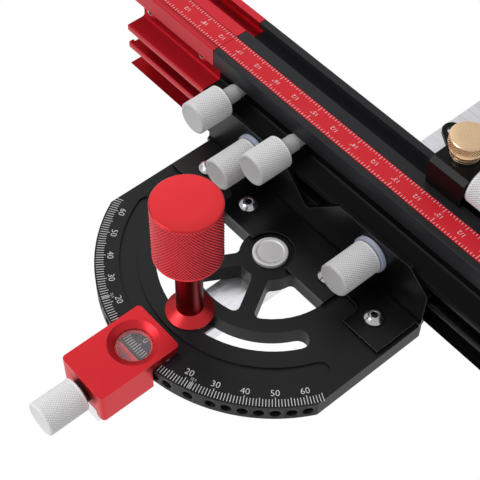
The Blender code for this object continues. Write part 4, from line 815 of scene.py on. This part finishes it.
def camera():
    """Camera at the photograph's place: right, up and back are turned by azimuth, elevation and roll."""
    a, b, c = CAMERA_AZIMUTH, CAMERA_ELEVATION, CAMERA_ROLL
    ahead = Vector((-math.sin(a) * math.cos(b), math.cos(a) * math.cos(b), -math.sin(b)))
    right = Vector((math.cos(a), math.sin(a), 0.0))
    up = right.cross(ahead)
    right, up = math.cos(c) * right + math.sin(c) * up, -math.sin(c) * right + math.cos(c) * up
    lens = bpy.data.cameras.new("photo_camera")
    lens.sensor_width = SENSOR_MM
    lens.lens = SENSOR_MM * FOCAL_PX / PICTURE_PX
    lens.shift_x = (PICTURE_PX / 2 - CENTRE_PX[0]) / PICTURE_PX
    lens.shift_y = (CENTRE_PX[1] - PICTURE_PX / 2) / PICTURE_PX
    lens.clip_start, lens.clip_end = 0.02, 50.0
    holder = bpy.data.objects.new("photo_camera", lens)
    turn = Matrix((right, up, -ahead)).transposed().to_4x4()
    holder.matrix_world = Matrix.Translation(CAMERA_PLACE) @ turn
    bpy.context.scene.collection.objects.link(holder)
    bpy.context.scene.camera = holder


BLACK_PLATE = anodised("plate_black", (0.0125, 0.0125, 0.0140), 0.42, 0.0, 0.20)
BLACK_SHEET = anodised("sheet_black", (0.0012, 0.0012, 0.0015), 0.32, 0.0, 0.30)
BLACK_RAIL = anodised("rail_black", (0.0185, 0.0186, 0.0210), 0.40, 0.0, 0.18)
BLACK_STOP = anodised("stop_black", (0.0030, 0.0024, 0.0026), 0.36, 0.0, 0.16)
SHEET_FOLD = anodised("sheet_fold", (0.0012, 0.0012, 0.0015), 0.60, 0.0, 0.05)
# Lighter finishes for broken edges: part wear, part painted highlight
WORN_HIGHLIGHT_PLATE = anodised("worn_highlight_plate", (0.070, 0.070, 0.076), 0.34, 0.5)
WORN_HIGHLIGHT_SHEET = anodised("worn_highlight_sheet", (0.11, 0.11, 0.12), 0.32, 0.5)
RED_BLOCK = anodised("block_red", (0.69, 0.028, 0.038), 0.37, 0.80, 0.28, 0.04)
WORN_HIGHLIGHT_RED = anodised("worn_highlight_red", (0.98, 0.22, 0.25), 0.30, 0.7, 0.5, 0.04)
# Red knob: lighter red on knurl crests as painted highlight, near-black grooves as painted shade, darker stem
# as painted shade and reflection of the black plate
RED_KNOB = anodised("knob_red", (0.67, 0.036, 0.043), 0.34, 0.88, 0.15, 0.04,
                    ((1.0, 0.075, 0.10), (0.09, 0.0002, 0.001)),
                    (PLATE_TOP + 0.0039, PLATE_TOP + 0.0424, (0.26, 0.008, 0.012)))
RED_RAIL = anodised("rail_red", (0.52, 0.018, 0.030), 0.34, 0.80, 0.5, 0.04)
# Darker copies of the rail finishes for the fence's recesses: painted shade
BLACK_RECESS_SHADE = anodised("rail_black_recess_shade", (0.0040, 0.0040, 0.0045), 0.45, 0.0, 0.10)
RED_RECESS_SHADE = anodised("rail_red_recess_shade", (0.40, 0.006, 0.013), 0.40, 0.80, 0.25, 0.04)
RULE_RED = anodised("rule_red", (0.67, 0.020, 0.032), 0.50, 0.0, 0.16, 0.04)
# Screw sockets: near-black painted shade
SCREW_STEEL = brushed("screw_steel", (0.66, 0.66, 0.68), 0.20, (900, 900, 900), socket=(0.06, 0.06, 0.065))
PLAIN_STEEL = brushed("plain_steel", (0.56, 0.56, 0.58), 0.30, (700, 700, 90))
BAR_STEEL = brushed("bar_ground", (0.90, 0.89, 0.93), 0.36, (60, 2100, 2100), 0.84)
SLIDE_METAL = brushed("slide_drawn", (0.78, 0.78, 0.80), 0.34, (22, 1800, 1800))
WASHER_PALE = anodised("washer_pale", (0.46, 0.50, 0.62), 0.36, 0.1)
LENS_CLEAR = clear("lens_clear", (0.70, 0.70, 0.72), 0.05, 0.10)
PRINT_WHITE = Finish("print_white", (0.74, 0.74, 0.74), 0.0, 0.6).material
PRINT_PINK = Finish("print_pink", (0.86, 0.72, 0.72), 0.0, 0.6).material
DARK_MARK = Finish("mark_dark", (0.16, 0.004, 0.010), 0.0, 0.5).material

# Solids with broken edges: node, finish, edge width, body, slot, finish of the broken edges (part wear, part
# painted highlight), other finish and its test
EASED = (("protractor_plate", BLACK_PLATE, 0.00028, "head", "black_anodised", WORN_HIGHLIGHT_PLATE),
         ("fence_bracket", BLACK_SHEET, 0.00024, "head", "black_anodised", WORN_HIGHLIGHT_SHEET,
          (SHEET_FOLD, in_fold)),
         ("pointer_block", RED_BLOCK, 0.00040, "bar", "red_anodised", WORN_HIGHLIGHT_RED),
         # The fence's and extension's recesses take painted shade
         ("fence_rail", BLACK_RAIL, 0.00018, "fence", "black_anodised", None, (BLACK_RECESS_SHADE, below_ledge)),
         ("extension_rail", RED_RAIL, 0.00018, "extension", "red_anodised", None, (RED_RECESS_SHADE, behind_fin)),
         ("stop_block", BLACK_STOP, 0.00035, "stop", "black_anodised"),
         ("stop_carriage", BLACK_STOP, 0.00035, "stop_carriage", "black_anodised"),
         ("stop_arm", BLACK_STOP, 0.0003, "stop_arm", "black_anodised"),
         ("miter_bar", BAR_STEEL, 0.0003, "bar", "bar_steel"))
THUMB_KNOBS = (("fence_knob_left", "fence_knob_left"), ("fence_knob_right", "fence_knob_right"),
               ("extension_knob_left", "extension_knob_left"),
               ("extension_knob_right", "extension_knob_right"), ("plunger_knob", "plunger"))
DRESSED = ((RULE_RED, ("ruler_strip", "extension_ruler")),
           (SLIDE_METAL, ("slide_bar",)),
           (BLACK_PLATE, ("plunger_bushing",)),
           (WASHER_PALE, ("fence_washer_left", "fence_washer_right")),
           (SCREW_STEEL, ("stop_washer",)),
           (PLAIN_STEEL, ("clamp_stud", "plunger_spring", "plunger_pin", "t_bolt_left", "t_bolt_right",
                          "stop_slider", "carriage_slider", "arm_pin", "block_screw_left",
                          "block_screw_right")))


def main():
    """Builds every visible piece, dresses the rest and sets the studio."""
    camera()
    studio()
    for row in EASED:
        eased(*row)
    clamp_knob()
    for node, body in THUMB_KNOBS:
        thumb_knob(node, body)
    lock_knob()
    micro_wheel()
    pivot_cap()
    lens_disc()
    pointer_wedge()
    seat = PLATE_TOP + 0.0006 + 0.0020
    for index in range(1, 5):
        hex_screw("bracket_screw_%d" % index, "head", "Z", 1, head=0.0047, dome=0.0027, shank=0.0025,
                  tip=seat - 0.0098, flat=0.0015, seat=seat)
    for side in ("left", "right"):
        hex_screw("extension_screw_" + side, "extension", "Y", -1, head=0.0036, dome=0.0019, shank=0.0020,
                  tip=0.0442, flat=0.0011, seat=WEB_HOLE)
    protractor_print()
    rule_print("fence_rule", FENCE_ENDS, "fence")
    rule_print("extension_rule", EXTENSION_ENDS, "extension")
    for material, nodes in DRESSED:
        for node in nodes:
            dress(node, material)
    bpy.context.scene.view_settings.view_transform = "Standard"


main()
